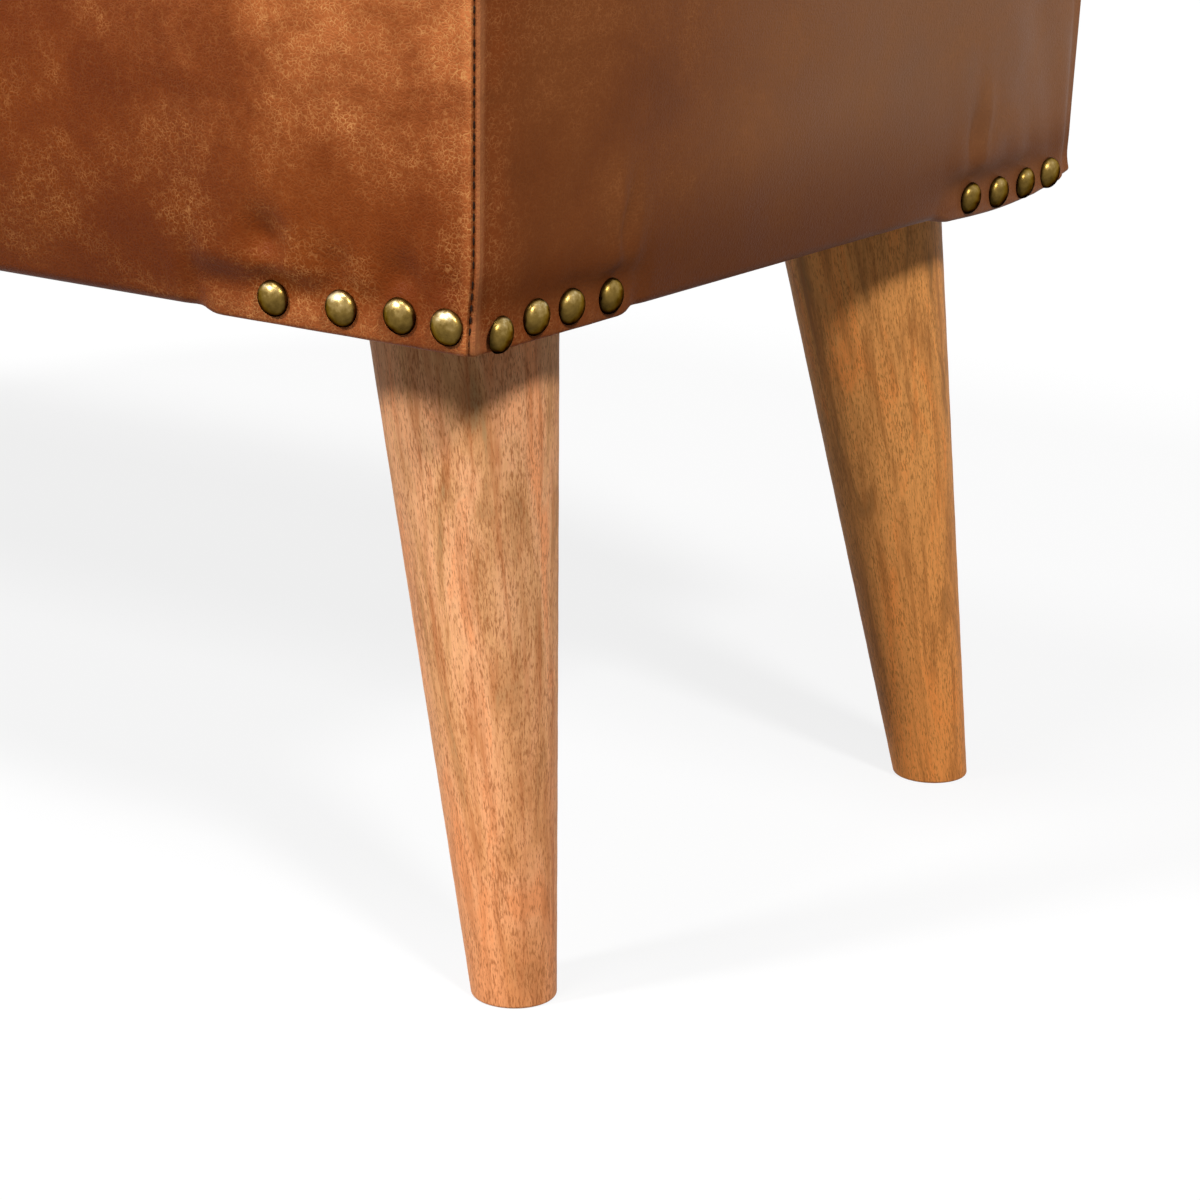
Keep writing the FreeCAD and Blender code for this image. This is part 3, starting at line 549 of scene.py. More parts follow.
topLow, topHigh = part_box("leather_top_panel")
frontLow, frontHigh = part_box("leather_front_panel")
seat = {
    "seamX": topHigh.x, "seamY": topHigh.y, "seamZ": frontHigh.z, "crownZ": topHigh.z,
    "edgeZ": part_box("dust_cover")[1].z, "lipZ": frontLow.z, "bulge": topLow.y - frontLow.y,
}
cover = {
    "thickness": 1.5 * mm,
    "roll": 4.5 * mm, "hem": 22 * mm,  # radius of the lower edge, and leather turned under
    "lipRoll": 1.9 * mm, "lipHem": 8 * mm,  # the same on the nailed lips beside the corners
    "lips": {"long": 110 * mm, "front": 85 * mm, "back": 105 * mm}, "lipBlend": 14 * mm,
    "lipSwell": 0.9 * mm, "lipSwellLevel": 3.5 * mm, "lipSwellWidth": 5 * mm,
    # padding that stands out above the lower edge: where it starts over a lip and in what height,
    # in what height it starts over the hem, where and in what height it fades, and its share at the corners
    "shoulder": 4.2 * mm, "overLip": (9.5 * mm, 11 * mm), "overHem": 50 * mm,
    "shoulderFade": (35 * mm, 130 * mm), "cornerShare": 0.05, "cornerFade": 75 * mm,
    # crease where a nailed lip ends
    "tucks": {"long": 1.6 * mm, "front": 1.4 * mm, "back": 0.4 * mm},
    "tuckPast": 3 * mm, "tuckWidth": 4 * mm, "tuckHeight": 42 * mm,
    "seamDepth": 1.0 * mm, "seamWidth": 0.75 * mm, "mitre": 40 * mm,
    "endRoll": 1.0 * mm, "longRoll": 0.25 * mm, "topRoll": 0.4 * mm,  # turned-in leather beside the seams
    "nailHold": 6.5 * mm, "nailSunk": 0.05 * mm, "seamClear": 6 * mm,
    # pulled in above the nails, in order from the corner: depth, height and width
    "dents": (
        (1.2 * mm, 20 * mm, 6 * mm), (3.2 * mm, 20 * mm, 8 * mm),
        (2.8 * mm, 20 * mm, 8 * mm), (4.2 * mm, 28 * mm, 8 * mm)),
    "endDentShare": 0.4,
    # ridge and valley of the fold that rises from the last nail of an end's row
    "foldDepth": 1.9 * mm, "foldWidth": 4 * mm, "foldRidge": -2 * mm, "foldValley": 5 * mm,
    "foldLevel": 30 * mm, "foldHeight": 15 * mm,
    # lips raised at the back corners, with a sag beside them on the ends
    "backRaise": 6 * mm, "raiseRun": 20 * mm,
    "backSag": 1.5 * mm, "sagPlace": 65 * mm, "sagWidth": 35 * mm,
}
sides = {
    "front": {"out": (0, -1), "node": "leather_front_panel", "lips": ("long", "long")},
    "right": {"out": (1, 0), "node": "leather_right_end_panel", "lips": ("front", "back")},
    "back": {"out": (0, 1), "node": "leather_back_panel", "lips": ("long", "long")},
    "left": {"out": (-1, 0), "node": "leather_left_end_panel", "lips": ("back", "front")},
}
for word, side in sides.items():
    side["long"] = word in ("front", "back")
    lengths = (seat["seamX"], seat["seamY"])
    side["run"], side["reach"] = lengths if side["long"] else lengths[::-1]
    side["outward"] = np.array((*side["out"], 0.0))
    side["along"] = np.array((-side["out"][1], side["out"][0], 0.0))
    side["nails"] = [n for found in nailsAt.values() for n in found if n["axis"] @ side["outward"] > 0.7]


def barrel(z):
    half = (seat["seamZ"] - seat["edgeZ"]) / 2
    return seat["bulge"] * np.clip(1 - ((z - seat["edgeZ"] - half) / half) ** 2, -0.3, 1)


def lipShare(side, s, blend):
    # 1 beside the corners, where the edge hangs as a nailed lip, 0 where the leather turns under
    ends = [cover["lips"][word] for word in side["lips"]]
    fromEnds = (s + side["run"], side["run"] - s)
    return np.maximum(*[1 - smooth((t - end) / blend + 0.5) for t, end in zip(fromEnds, ends)])


def fullness(side, s):
    # the padding thins out towards the corners
    fade = smooth((side["run"] - np.abs(s)) / cover["cornerFade"])
    return cover["cornerShare"] + (1 - cover["cornerShare"]) * fade


def aroundNail(side, nail, s, z, offset):
    # held under the nail, pulled in above it
    height, place = z - seat["edgeZ"], nail["seat"] @ side["along"]
    clear = smooth((side["run"] - np.abs(s)) / cover["seamClear"])
    away = np.hypot(s - place, z - nail["seat"][2])
    hold = (1 - smooth((away - nail["radius"] * 0.9) / cover["nailHold"])) * clear
    seatOffset = nail["seat"] @ side["outward"] - side["reach"] - cover["nailSunk"]
    offset = offset * (1 - hold) + seatOffset * hold
    depth, level, width = cover["dents"][nail["rank"]]
    dent = bell(s - place, 0, width) * bell(height, level, width) * clear
    offset = offset - depth * dent * (1 - hold) * (1 if side["long"] else cover["endDentShare"])
    if nail["onEnd"] and nail["rank"] == len(cover["dents"]) - 1:
        inward = (place - s) * np.sign(place)
        ridge, valley = [
            bell(inward, cover[word], cover["foldWidth"]) for word in ("foldRidge", "foldValley")]
        fold = (ridge - valley) * bell(height, cover["foldLevel"], cover["foldHeight"])
        offset = offset + cover["foldDepth"] * fold
    return offset


def faceOffset(side, s, z):
    # how far the leather stands out from the flat side, at s along it and height z
    height, fromCorner, fromTop = z - seat["edgeZ"], side["run"] - np.abs(s), seat["seamZ"] - z
    lip = lipShare(side, s, cover["lipBlend"])
    start, swell = cover["overLip"]
    overLip = smooth((height - start) / swell)
    overHem = 1 - (1 - np.clip(height / cover["overHem"], 0, 1)) ** 2
    fadeStart, fadeHeight = cover["shoulderFade"]
    shoulder = (overLip * lip + overHem * (1 - lip)) * (1 - smooth((height - fadeStart) / fadeHeight))
    offset = (barrel(z) + cover["shoulder"] * shoulder) * fullness(side, s)
    offset = offset + cover["lipSwell"] * lip * bell(height, cover["lipSwellLevel"], cover["lipSwellWidth"])
    low = 1 - smooth(height / cover["tuckHeight"])
    for fromEnd, word in zip((s + side["run"], side["run"] - s), side["lips"]):
        tuck = bell(fromEnd, cover["lips"][word] + cover["tuckPast"], cover["tuckWidth"])
        offset = offset - cover["tucks"][word] * tuck * low
    for nail in side["nails"]:
        offset = aroundNail(side, nail, s, z, offset)
    # the turned-in leather stands up beside the seams, and the seams lie in grooves
    roll = cover["longRoll"] if side["long"] else cover["endRoll"]
    offset = offset + roll * bell(fromCorner, 2.7 * mm, 1.5 * mm)
    offset = offset - 0.4 * roll * bell(fromCorner, 7.5 * mm, 2.6 * mm)
    offset = offset + cover["topRoll"] * bell(fromTop, 2.8 * mm, 1.6 * mm)
    groove = np.maximum(bell(fromCorner, 0, cover["seamWidth"]), bell(fromTop, 0, cover["seamWidth"]))
    return offset - cover["seamDepth"] * groove


def sidePoints(side, s, offset, z):
    # the two sides of a corner seam meet on the corner's diagonal
    fromCorner = side["run"] - np.abs(s)
    shift = np.sign(s) * offset * np.clip(1 - fromCorner / cover["mitre"], 0, 1)
    return (s + shift)[..., None] * side["along"] + (side["reach"] + offset)[..., None] * side["outward"] + (
        z[..., None] * np.array((0, 0, 1.0)))


cornerTwist = {  # how far the foot of a corner seam lies off its mark, and the height over which it does
    "width": 8 * mm,
    "front_left": ((2.0 * mm, 0, 0), 30 * mm), "front_right": ((-2.0 * mm, 0, 0), 30 * mm),
    "back_left": ((2.6 * mm, -2.6 * mm, 0), 120 * mm), "back_right": ((-2.6 * mm, -2.6 * mm, 0), 120 * mm),
}


def twisted(points):
    for corner, (signX, signY) in corners.items():
        shift, fade = cornerTwist[corner]
        away = np.hypot(points[..., 0] - signX * seat["seamX"], points[..., 1] - signY * seat["seamY"])
        share = bell(away, 0, cornerTwist["width"]) * (1 - smooth((points[..., 2] - seat["edgeZ"]) / fade))
        points = points + share[..., None] * np.array(shift)
    return points


grid = {  # spacing of the leather's points: finest at the seams, fine on the lips and near the lower edge
    "seam": 0.5 * mm, "growth": 0.28,
    "lipRun": 125 * mm, "lipGrowth": 0.22, "edgeDrop": 45 * mm, "edgeGrowth": 0.2,
    "shown": {"fine": 2.2 * mm, "run": 12 * mm, "drop": 8 * mm},
    "settled": {"fine": 5 * mm, "run": 18 * mm, "drop": 12 * mm},
}


def fromSeam(t):
    return grid["seam"] + grid["growth"] * t


def mirrored(half):
    # places from 0 to a half width, as places across the whole
    return np.concatenate([half - half[-1], (half[-1] - half[:-1])[::-1]])


def runPlaces(side, sizes):
    def step(t):
        onLip = sizes["fine"] + grid["lipGrowth"] * np.maximum(t - grid["lipRun"], 0)
        return np.minimum(np.minimum(fromSeam(t), onLip), sizes["run"])

    return mirrored(spaced(side["run"], step))


def dropPlaces(length, sizes):
    def step(t):
        nearEdge = sizes["fine"] + grid["edgeGrowth"] * np.maximum(length - grid["edgeDrop"] - t, 0)
        return np.minimum(np.minimum(fromSeam(t), nearEdge), sizes["drop"])

    return spaced(length, step)


def cubicWeights(coarse, fine):
    # smooth interpolation from coarse places to fine ones, as a matrix
    at = np.interp(fine, coarse, np.arange(len(coarse)))
    base = np.clip(np.floor(at).astype(int), 0, len(coarse) - 2)
    f = at - base
    spline = [
        (1 - f) ** 3 / 6, (3 * f ** 3 - 6 * f ** 2 + 4) / 6,
        (-3 * f ** 3 + 3 * f ** 2 + 3 * f + 1) / 6, f ** 3 / 6]
    made = np.zeros((len(fine), len(coarse)))
    for k, weight in enumerate(spline):
        np.add.at(made, (np.arange(len(fine)), np.clip(base + k - 1, 0, len(coarse) - 1)), weight)
    return made


settle = {
    "frames": 20, "cap": 1.2 * mm,  # the cap is the longest move of a point
    "heldSeam": 3 * mm, "heldEdge": 2 * mm, "heldNail": 1 * mm,
    "cloth": {
        "quality": 6, "mass": 0.4, "tension_stiffness": 60, "compression_stiffness": 60,
        "shear_stiffness": 40, "bending_stiffness": 8.0, "air_damping": 6,
        "use_pressure": True, "uniform_pressure_force": 4.0,
    },
}


def settleCloth(name, points, held):
    # leather pressed out by its padding, held at seams, hem and nails; gives how far each point moved
    rows, columns = points.shape[:2]
    mesh = meshFrom(name, points.reshape(-1, 3), gridFaces(rows, columns)[:, ::-1])
    piece = link(name, mesh, leather)
    group = piece.vertex_groups.new(name="held")
    for i, weight in enumerate(held.ravel()):
        group.add([i], float(weight), "REPLACE")
    cloth = piece.modifiers.new("settle", "CLOTH")
    for setting, value in settle["cloth"].items():
        setattr(cloth.settings, setting, value)
    cloth.settings.vertex_group_mass = "held"
    cloth.settings.effector_weights.gravity = 0
    cloth.collision_settings.use_collision = False
    cloth.point_cache.frame_start, cloth.point_cache.frame_end = 1, settle["frames"]
    scene = bpy.context.scene
    for step in range(1, settle["frames"] + 1):
        scene.frame_set(step)
    settled = piece.evaluated_get(bpy.context.evaluated_depsgraph_get()).data
    places = np.empty(rows * columns * 3, np.float32)
    settled.vertices.foreach_get("co", places)
    moved = places.reshape(points.shape) - points
    scene.frame_set(1)
    bpy.data.objects.remove(piece)
    bpy.data.meshes.remove(mesh)
    size = np.linalg.norm(moved, axis=-1, keepdims=True)
    return moved * np.minimum(1, settle["cap"] / np.maximum(size, 1e-9))


def sideSettling(word, side, runs, drops):
    s, z = np.meshgrid(runs, seat["seamZ"] - drops)
    points = sidePoints(side, s, faceOffset(side, s, z), z)
    held = side["run"] - np.abs(s) < settle["heldSeam"]
    held |= (drops < settle["heldSeam"])[:, None] | (z - seat["edgeZ"] < settle["heldEdge"])
    for nail in side["nails"]:
        away = np.hypot(s - nail["seat"] @ side["along"], z - nail["seat"][2])
        held |= away < nail["radius"] + settle["heldNail"]
    return settleCloth("settling_" + word, points, held)


def lowerEdge(word, side, runs, lip):
    # height of the lower edge along a side
    lower = seat["edgeZ"] + (seat["lipZ"] - seat["edgeZ"]) * lip
    for fromEnd, lipWord in zip((runs + side["run"], side["run"] - runs), side["lips"]):
        if "back" in (word, lipWord):
            lower = lower + cover["backRaise"] * np.exp(-fromEnd / cover["raiseRun"])
        if lipWord == "back":
            lower = lower - cover["backSag"] * bell(fromEnd, cover["sagPlace"], cover["sagWidth"])
    return lower


def sideRows(word, side, runs, drops):
    # rows from the top seam down, as offset, height and the outward and upward parts of the normal:
    # the face, then the rolled lower edge, then the hem
    lip = lipShare(side, runs, cover["lipBlend"])
    lower = lowerEdge(word, side, runs, lip)
    radius = cover["roll"] * (1 - lip) + cover["lipRoll"] * lip
    hem = cover["hem"] * (1 - lip) + cover["lipHem"] * lip
    s = np.broadcast_to(runs, (len(drops), len(runs)))
    z = seat["seamZ"] - (drops / drops[-1])[:, None] * (seat["seamZ"] - lower - radius)
    face = faceOffset(side, s, z)
    rows = [(offset, level, 1, 0) for offset, level in zip(face, z)]
    for angle in np.radians(np.linspace(0, 90, 8)[1:]):
        out, down = math.cos(angle), math.sin(angle)
        rows.append((face[-1] - radius * (1 - out), lower + radius * (1 - down), out, -down))
    for share in (0.25, 0.5, 0.75, 1.0):
        rows.append(((face[-1] - radius) * (1 - share) - hem * share, lower, 0, -1))
    offset, level, out, up = zip(*rows)
    return np.array(offset), np.array(level), np.array(out)[:, None], np.array(up)[:, None]


ageAndLight = {  # how strongly the long sides and the ends are pulled pale and given painted light and painted shade
    "long": {"seam": 0.25, "broadLight": 0.6, "lowShade": 0.42, "fold": 0.04},
    "end": {"seam": 0.75, "broadLight": 0.15, "lowShade": 0.6, "fold": 0.45},
    "lip": 0.38, "lightBesideSeam": 0.35, "lipBlend": 90 * mm, "mostPullAndLight": 0.9, "groove": 0.6,
}


def sideAgeAndLight(side, s, z, fromFront):
    share = ageAndLight["long" if side["long"] else "end"]
    height, fromCorner = z - seat["edgeZ"], side["run"] - np.abs(s)
    lip = lipShare(side, s, ageAndLight["lipBlend"])
    # partly painted light: the nailed lips are paler near their foot, as pulled leather and as painted light
    band = ageAndLight["lip"] * lip * bell(height, 2 * mm, 6 * mm)
    # paler beside the corner seams: pulled over the rolled edge, with a painted highlight on it
    seam = share["seam"] * bell(fromCorner, 2.4 * mm, 2.0 * mm)
    # painted light: paler towards the top and towards the corners
    broadLight = share["broadLight"] * smooth((height - 15 * mm) / (110 * mm)) * (1 - smooth(fromCorner / (220 * mm)))
    # painted shade: darker towards the foot of the face, and in the fold above the nailed lips
    lowShade = share["lowShade"] * (1 - lip) * (1 - smooth(height / (60 * mm)))
    fold = share["fold"] * lip * bell(height, 17 * mm, 8 * mm)
    glossAndSheen = np.ones_like(z)
    if not side["long"]:
        # painted light: an end is paler beside the front seam, fading towards the back; painted sheen: the
        # mask that mixes in the pale brown grows towards the back and is lower near the foot, and it also
        # raises the specular level
        seam = seam + ageAndLight["lightBesideSeam"] * bell(fromCorner, 8 * mm, 14 * mm)
        seam = seam * (1 - 0.8 * smooth(fromFront / (300 * mm)))
        glossAndSheen = (0.1 + 0.9 * smooth(fromFront / (280 * mm))) * (0.6 + 0.4 * smooth(height / (60 * mm)))
    return {
        "pullAndLight": np.clip(band + seam + broadLight, 0, ageAndLight["mostPullAndLight"]),
        # painted shade also in the seam grooves
        "paintedShade": np.maximum(lowShade + fold, ageAndLight["groove"] * bell(fromCorner, 0, 0.7 * mm)),
        "glossAndSheen": glossAndSheen,
    }


def addAgeAndLight(mesh, agedAndLit):
    for name, values in agedAndLit.items():
        addPointValues(mesh, name, np.concatenate([values.ravel()] * 2))  # outer and inner skin


def makeSide(word, side):
    dropHeight = seat["seamZ"] - seat["edgeZ"]
    runs, drops = runPlaces(side, grid["shown"]), dropPlaces(dropHeight, grid["shown"])
    offset, z, out, up = sideRows(word, side, runs, drops)
    s = np.broadcast_to(runs, z.shape)
    outer = sidePoints(side, s, offset, z)
    inner = sidePoints(side, s, offset - cover["thickness"] * out, z - cover["thickness"] * up)
    coarseRuns = runPlaces(side, grid["settled"])[2:-2]
    coarseDrops = dropPlaces(dropHeight, grid["settled"])[2:]
    moved = sideSettling(word, side, coarseRuns, coarseDrops)
    drop = np.concatenate([drops, np.full(len(z) - len(drops), dropHeight)])
    down, across = cubicWeights(coarseDrops, drop), cubicWeights(coarseRuns, runs)
    fine = np.einsum("ri,ijk,cj->rck", down, moved, across)
    outer, inner = outer + fine, inner + fine
    mesh = skinMesh(side["node"], twisted(outer), twisted(inner))
    addAgeAndLight(mesh, sideAgeAndLight(side, s, z, outer[..., 1] + seat["seamY"]))
    made = link("leather_cover_" + word, mesh, leather if side["long"] else endLeather)
    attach(made, "root")
    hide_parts(side["node"])


for word, side in sides.items():
    makeSide(word, side)
    print("leather side made:", word)


# Top panel sizes; its pull values also carry a painted highlight beside the seam, and its groove value is
# painted shade in the seam groove.
topSizes = {
    "edgeRise": 5 * mm, "edgeWidth": 11 * mm, "roll": 0.5 * mm, "coarse": 16 * mm, "held": 4 * mm,
    "pullAndLight": 0.15, "edgePullAndLight": 0.35, "groove": 0.8,
}


def domed(u, v):
    # 1 in the middle of the seat, 0 along its edges
    return (1 - np.abs(u) ** 2.6) * (1 - np.abs(v) ** 2.2)


def topRise(x, y, fromEdge):
    # height of the leather above the seam: a quick rise at the edge, then a long crown
    full = seat["crownZ"] - seat["seamZ"]
    edge = topSizes["edgeRise"] * (1 - np.exp(-fromEdge / topSizes["edgeWidth"]))
    crown = (full - topSizes["edgeRise"]) * domed(x / seat["seamX"], y / seat["seamY"])
    return edge + crown + topSizes["roll"] * bell(fromEdge, 2.6 * mm, 1.6 * mm)


def makeTop():
    def step(t):
        return np.minimum(fromSeam(t), topSizes["coarse"])

    x, y = np.meshgrid(*[mirrored(spaced(seat[word], step)) for word in ("seamX", "seamY")])
    fromEdge = np.minimum(seat["seamX"] - np.abs(x), seat["seamY"] - np.abs(y))
    fit = 1 - cover["seamDepth"] / np.array([seat["seamX"], seat["seamY"]])
    outer = np.stack([x * fit[0], y * fit[1], seat["seamZ"] + topRise(x, y, fromEdge)], -1)
    inner = outer - np.array([0, 0, cover["thickness"]])
    held = fromEdge < topSizes["held"]
    moved = settleCloth("settling_top", outer[::-1], held[::-1])[::-1]
    outer, inner = outer + moved, inner + moved
    mesh = skinMesh("leather_top_panel", outer, inner)
    # paler beside the seam: pulled leather with a painted highlight; painted shade in the seam groove
    addAgeAndLight(mesh, {
        "pullAndLight": topSizes["pullAndLight"] + topSizes["edgePullAndLight"] * bell(fromEdge, 3 * mm, 8 * mm),
        "paintedShade": topSizes["groove"] * bell(fromEdge, 0, 0.8 * mm), "glossAndSheen": np.ones_like(x)})
    made = link("leather_cover_top", mesh, leather)
    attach(made, "root")
    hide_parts("leather_top_panel")


makeTop()
print("leather top made")


# Seam stitches

stitch = {
    "pitch": 3.7 * mm, "length": 2.4 * mm, "radius": 0.3 * mm, "lift": 0.2 * mm,
    "footGap": 1.5 * mm, "topGap": 2 * mm, "cornerLevels": 9,
}


def stitchShape():
    half, radius = stitch["length"] / 2, stitch["radius"]
    profile = [(0, -half), (radius * 0.7, -half * 0.85), (radius, -half * 0.4), (radius, half * 0.4)]
    return lathe(profile + [(radius * 0.7, half * 0.85), (0, half)], 8)


def stitchRun(start, end):
    start, end = np.array(start), np.array(end)
    length = np.linalg.norm(end - start)
    turn = frameAlong(end - start)
    points, faces = stitchShape()
    count = int(length // stitch["pitch"])
    margin = (length - count * stitch["pitch"]) / 2
    return [
        (points @ turn.T + start + (end - start) * ((k + 0.5) * stitch["pitch"] + margin) / length, faces)
        for k in range(count)
    ]


def cornerLine(sideX, sideY, z):
    offset = float(faceOffset(sides["front"], np.array(seat["seamX"]), np.array(z))) + stitch["lift"]
    return twisted(np.array((sideX * (seat["seamX"] + offset), sideY * (seat["seamY"] + offset), z)))


def makeStitches():
    parts = []
    for sideX, sideY in corners.values():
        foot = seat["lipZ"] + stitch["footGap"] + (cover["backRaise"] if sideY > 0 else 0)
        levels = np.linspace(foot, seat["seamZ"] - stitch["topGap"], stitch["cornerLevels"])
        for low, high in zip(levels[:-1], levels[1:]):
            parts += stitchRun(cornerLine(sideX, sideY, low), cornerLine(sideX, sideY, high))
    mesh = meshFrom("corner_stitches", *joinedParts(parts))
    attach(link("stitches_corner_seams", mesh, thread), "root")
    parts = []
    inset = cover["seamDepth"] - stitch["lift"]
    x, y, z = seat["seamX"] - inset, seat["seamY"] - inset, seat["seamZ"]
    loop = [(-x, -y, z), (x, -y, z), (x, y, z), (-x, y, z)]
    for start, end in zip(loop, loop[1:] + loop[:1]):
        parts += stitchRun(start, end)
    mesh = meshFrom("top_stitches", *joinedParts(parts))
    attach(link("stitches_top_seam", mesh, thread), "root")


makeStitches()
print("stitches made")


# Legs: turned between the rings of their solids

legSizes = {
    "segments": 96, "levels": 60, "footBevel": 1 * mm, "footRound": 1.1 * mm,
    "latheMarks": ((0.03 * mm, 310, 0), (0.018 * mm, 770, 1.3)),  # depth, radians to the metre, start
}


def legRing(points, level, lean):
    # middle and half widths, along and across the lean, of the ring of points at a level
    ring = points[np.abs(points[:, 2] - level) < 1e-5]
    across = np.array((-lean[1], lean[0]))
    spans = [(ring[:, :2] @ d) for d in (lean, across)]
    middle = sum((d * (span.max() + span.min()) / 2 for d, span in zip((lean, across), spans)))
    return middle, [(span.max() - span.min()) / 2 for span in spans]


def makeLeg(corner):
    points = np.array([v.co for v in nodes["leg_" + corner].data.vertices])
    top = points[:, 2].max()
    soleMiddle = points[points[:, 2] < 1e-5].mean(0)
    rough = (soleMiddle - points[points[:, 2] > top - 1e-5].mean(0))[:2]
    lean = rough / np.linalg.norm(rough)
    across = np.array((-lean[1], lean[0]))
    lowMiddle, lowHalf = legRing(points, 0, lean)
    highMiddle, highHalf = legRing(points, top, lean)
    axis = np.array((*(highMiddle - lowMiddle), top))
    curve = np.radians(np.linspace(0, 90, 6))
    foot = legSizes["footRound"]
    stations = [(foot * (1 - math.cos(a)), foot * (1 - math.sin(a)) - legSizes["footBevel"]) for a in curve]
    stations += [(h, -legSizes["footBevel"]) for h in np.linspace(foot, top, legSizes["levels"])[1:]]
    turn = np.linspace(0, 2 * math.pi, legSizes["segments"], endpoint=False)
    rings = []
    for h, inset in stations:
        share = h / top
        wave = sum(depth * math.sin(h * pace + start) for depth, pace, start in legSizes["latheMarks"])
        wide, deep = [
            low - inset + (high - low + inset) * share + wave for low, high in zip(lowHalf, highHalf)]
        flat = lowMiddle + (highMiddle - lowMiddle) * share
        flat = flat + np.outer(np.cos(turn) * wide, lean) + np.outer(np.sin(turn) * deep, across)
        rings.append(np.column_stack([flat, np.full(len(turn), h)]))
    index = np.arange(len(rings) * len(turn)).reshape(len(rings), len(turn))
    after = np.roll(index, -1, axis=1)
    walls = np.stack([index[:-1], after[:-1], after[1:], index[1:]], -1).reshape(-1, 4)
    faces = [*walls.tolist(), index[0, ::-1].tolist(), index[-1].tolist()]
    place = Matrix.Translation((*lowMiddle, 0)) @ Matrix(frameAlong(axis)).to_4x4()
    mesh = meshFrom("leg_" + corner, np.concatenate(rings), faces, sharpAngle=50)
    mesh.transform(place.inverted())  # own Z along the grain
    made = link("turned_leg_" + corner, mesh, mango if "front" in corner else mangoDark)
    made.matrix_world = place
    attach(made, "root")
    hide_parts("leg_" + corner)


for corner in corners:
    makeLeg(corner)
print("legs made")


# Padding inside the cover

padding = {
    "step": 18 * mm, "levels": 16, "lump": 0.5 * mm, "sideLump": 30 * mm, "seatLump": 45 * mm,
    "cornerGap": 5 * mm, "coverGap": 1.2 * mm, "bevel": 1.2 * mm, "riseShare": 0.92,
}


def lumps(points, size):
    # soft unevenness of the filling, from a few sine waves
    wave = np.sin(points[..., 0] / size * 2.1 + 1) * np.sin(points[..., 1] / size * 1.7 + 2)
    return padding["lump"] * (wave + np.sin(points[..., 2] / size * 2.6 + points[..., 0] / size))


def blockPlaces(half):
    return np.linspace(-half, half, max(8, int(2 * half / padding["step"])))


def makePad(word, side):
    low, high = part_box(word + "_side_pad")
    inside = min(np.array(end) @ side["outward"] for end in (low, high))
    runs = blockPlaces(side["run"] - padding["cornerGap"])
    s, z = np.meshgrid(runs, np.linspace(high.z, low.z, padding["levels"]))
    offset = barrel(z) * fullness(side, s) - cover["thickness"] - padding["coverGap"]
    outer = sidePoints(side, s, offset, z)
    outer = outer - np.abs(lumps(outer, padding["sideLump"]))[..., None] * side["outward"] * 0.5
    inner = sidePoints(side, s, np.full_like(z, inside - side["reach"]), z)
    made = link(word + "_pad", skinMesh(word + "_pad", outer, inner), wadding)
    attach(made, "root")
    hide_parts(word + "_side_pad")


for word, side in sides.items():
    makePad(word, side)


def crownedBlock(name, node, material, swellsBelow):
    low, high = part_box(node)
    x, y = np.meshgrid(blockPlaces(high.x), blockPlaces(high.y))
    dome = domed(x / high.x, y / high.y)
    rise = (seat["crownZ"] - seat["seamZ"] - cover["thickness"]) * padding["riseShare"] * dome
    outer = np.stack([x, y, high.z - rise.max() + rise], -1)
    outer[..., 2] += lumps(outer, padding["seatLump"]) * 0.3 * dome
    inner = np.stack([x, y, low.z + (rise if swellsBelow else 0 * rise)], -1)
    made = link(name, skinMesh(name, outer, inner), material)
    rounding = made.modifiers.new("soft edge", "BEVEL")
    rounding.width = padding["bevel"]
    rounding.segments = 2
    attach(made, "root")
    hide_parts(node)


crownedBlock("foam_block", "seat_foam", foam, False)
crownedBlock("wadding_top", "top_wadding", wadding, True)
print("padding made")


# Dust cover: cloth stapled under the frame, cut round the legs

dust = {
    "cell": 8 * mm, "sag": 5 * mm, "thickness": 0.6 * mm, "legGap": 1.2 * mm,
    "pucker": 0.5 * mm, "puckerWidth": 14 * mm, "staplePitch": 66 * mm,
}


def makeDustCover():
    low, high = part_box("dust_cover")
    columns, rows = int(2 * high.x / dust["cell"]), int(2 * high.y / dust["cell"])
    work = bmesh.new()
    bmesh.ops.create_grid(work, x_segments=columns, y_segments=rows, size=1.0)
    for vert in work.verts:
        vert.co = Vector((vert.co.x * high.x, vert.co.y * high.y, high.z))
    holes = []
    for corner in corners:
        points = np.array([v.co for v in nodes["leg_" + corner].data.vertices])
        ring = points[points[:, 2] > points[:, 2].max() - 1e-5]
        holes.append(Vector((*((ring.max(0) + ring.min(0)) / 2)[:2], high.z)))
        radius = (ring.max(0) - ring.min(0))[:2].max() / 2 + dust["legGap"]
    inside = [f for f in work.faces if any((f.calc_center_median() - h).length < radius for h in holes)]
    bmesh.ops.delete(work, geom=inside, context="FACES")
    for vert in [v for v in work.verts if v.is_boundary]:
        for hole in holes:
            if (vert.co - hole).length < radius + 1.5 * dust["cell"]:
                vert.co = hole + (vert.co - hole).normalized() * radius
    for vert in work.verts:
        u, v = vert.co.x / high.x, vert.co.y / high.y
        sag = dust["sag"] * (1 - u ** 4) * (1 - v * v)
        edge = min(high.x - abs(vert.co.x), high.y - abs(vert.co.y))
        along = vert.co.x if high.y - abs(vert.co.y) < high.x - abs(vert.co.x) else vert.co.y
        wave = math.sin(2 * math.pi * along / dust["staplePitch"]) ** 2
        vert.co.z -= sag + dust["pucker"] * wave * math.exp(-edge / dust["puckerWidth"])
    mesh = bpy.data.meshes.new("dust_cover")
    work.to_mesh(mesh)
    work.free()
    mesh.shade_smooth()
    made = link("cloth_dust_cover", mesh, dustCloth)
    solid = made.modifiers.new("cloth thickness", "SOLIDIFY")
    solid.thickness, solid.offset = dust["thickness"], -1
    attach(made, "root")
    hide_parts("dust_cover")


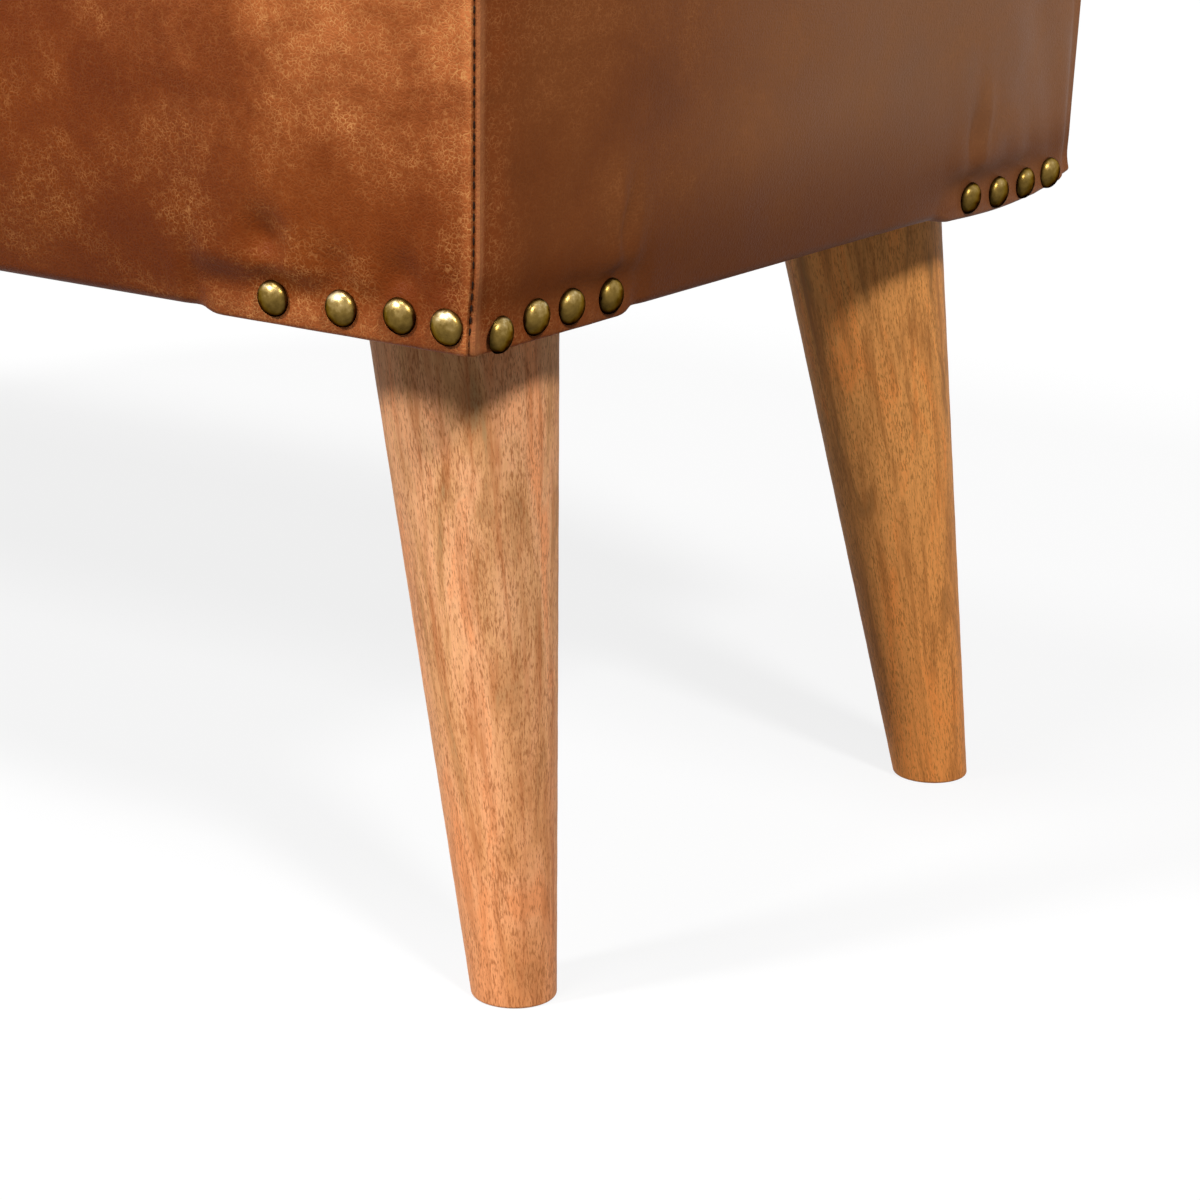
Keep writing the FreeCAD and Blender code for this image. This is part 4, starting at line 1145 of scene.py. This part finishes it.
makeDustCover()
print("dust cover made")


# Studio: white floor that keeps a faint shadow, three soft lamps

studio = {
    "fill": 0.09, "floorSize": 40, "floorTone": 0.26, "shadowTone": 0.8, "shadowShare": 0.15,
    # azimuth from the front towards the right, elevation, strength as a share of plain light, width
    "lamps": {
        "front lamp": (-31, 33, 0.80, 9), "right lamp": (62, 42, 0.80, 9), "top lamp": (-8, 68, 0.32, 14),
    },
}


def seenDirectly(tree):
    # 1 for the camera, and for what metal reflects
    words = ("Is Camera Ray", "Is Glossy Ray", "Is Transmission Ray")
    rays = [addNode(tree, "LightPath", output=word) for word in words]
    either = addNode(tree, "Math", {0: rays[0], 1: rays[1]}, operation="MAXIMUM")
    return addNode(tree, "Math", {0: either, 1: rays[2]}, operation="MAXIMUM")


def makeStudio():
    made, tree = newMaterial("white_paper")
    paper = addNode(tree, "BsdfDiffuse", {"Color": (studio["floorTone"],) * 3 + (1.0,)})
    white = addNode(tree, "BsdfDiffuse", {"Color": (studio["shadowTone"],) * 3 + (1.0,)})
    glow = addNode(tree, "Emission", {"Color": (1, 1, 1, 1), "Strength": 1.0})
    shown = addNode(tree, "MixShader", {0: 1 - studio["shadowShare"], 1: white, 2: glow})
    surface = addNode(tree, "MixShader", {0: seenDirectly(tree), 1: paper, 2: shown})
    addNode(tree, "OutputMaterial", {"Surface": surface})
    half = studio["floorSize"] / 2
    ends = [(-half, -half, 0), (half, -half, 0), (half, half, 0), (-half, half, 0)]
    link("floor", meshFrom("floor", ends, [(0, 1, 2, 3)]), made)
    world = bpy.data.worlds.new("studio")
    bpy.context.scene.world = world
    world.use_nodes = True
    world.node_tree.nodes.clear()
    tree = world.node_tree
    fill = addNode(tree, "Background", {"Color": (1, 1, 1, 1), "Strength": studio["fill"]})
    wall = addNode(tree, "Background", {"Color": (1, 1, 1, 1), "Strength": 1.0})
    mixed = addNode(tree, "MixShader", {0: seenDirectly(tree), 1: fill, 2: wall})
    addNode(tree, "OutputWorld", {"Surface": mixed})
    for name, (azimuth, elevation, share, width) in studio["lamps"].items():
        a, e = math.radians(azimuth), math.radians(elevation)
        toward = Vector((math.sin(a) * math.cos(e), -math.cos(a) * math.cos(e), math.sin(e)))
        lamp = bpy.data.lights.new(name, "SUN")
        lamp.energy = share * math.pi
        lamp.angle = math.radians(width)
        holder = bpy.data.objects.new(name, lamp)
        holder.rotation_euler = toward.to_track_quat("Z", "Y").to_euler()
        bpy.context.scene.collection.objects.link(holder)
    bpy.context.scene.view_settings.view_transform = "Standard"


makeStudio()
print("studio made")


# Camera at the photograph's place, for a square picture

view = {
    "place": (1.14466, -1.05625, 0.48186), "azimuth": 34.89, "elevation": 16.73, "roll": 0.73,
    "focalPixels": 3566.77, "picturePixels": 1200, "sensor": 36,
}


def makeCamera():
    a, e, r = (math.radians(view[word]) for word in ("azimuth", "elevation", "roll"))
    right = Vector((math.cos(a), math.sin(a), 0))
    back = Vector((math.sin(a) * math.cos(e), -math.cos(a) * math.cos(e), math.sin(e)))
    up = back.cross(right)
    turnedRight = right * math.cos(r) + up * math.sin(r)
    turnedUp = up * math.cos(r) - right * math.sin(r)
    lens = bpy.data.cameras.new("camera")
    lens.sensor_width = view["sensor"]
    lens.lens = view["sensor"] * view["focalPixels"] / view["picturePixels"]
    camera = bpy.data.objects.new("camera", lens)
    turned = Matrix((turnedRight, turnedUp, back)).transposed().to_4x4()
    camera.matrix_world = Matrix.Translation(view["place"]) @ turned
    bpy.context.scene.collection.objects.link(camera)
    bpy.context.scene.camera = camera


makeCamera()
print("camera made")
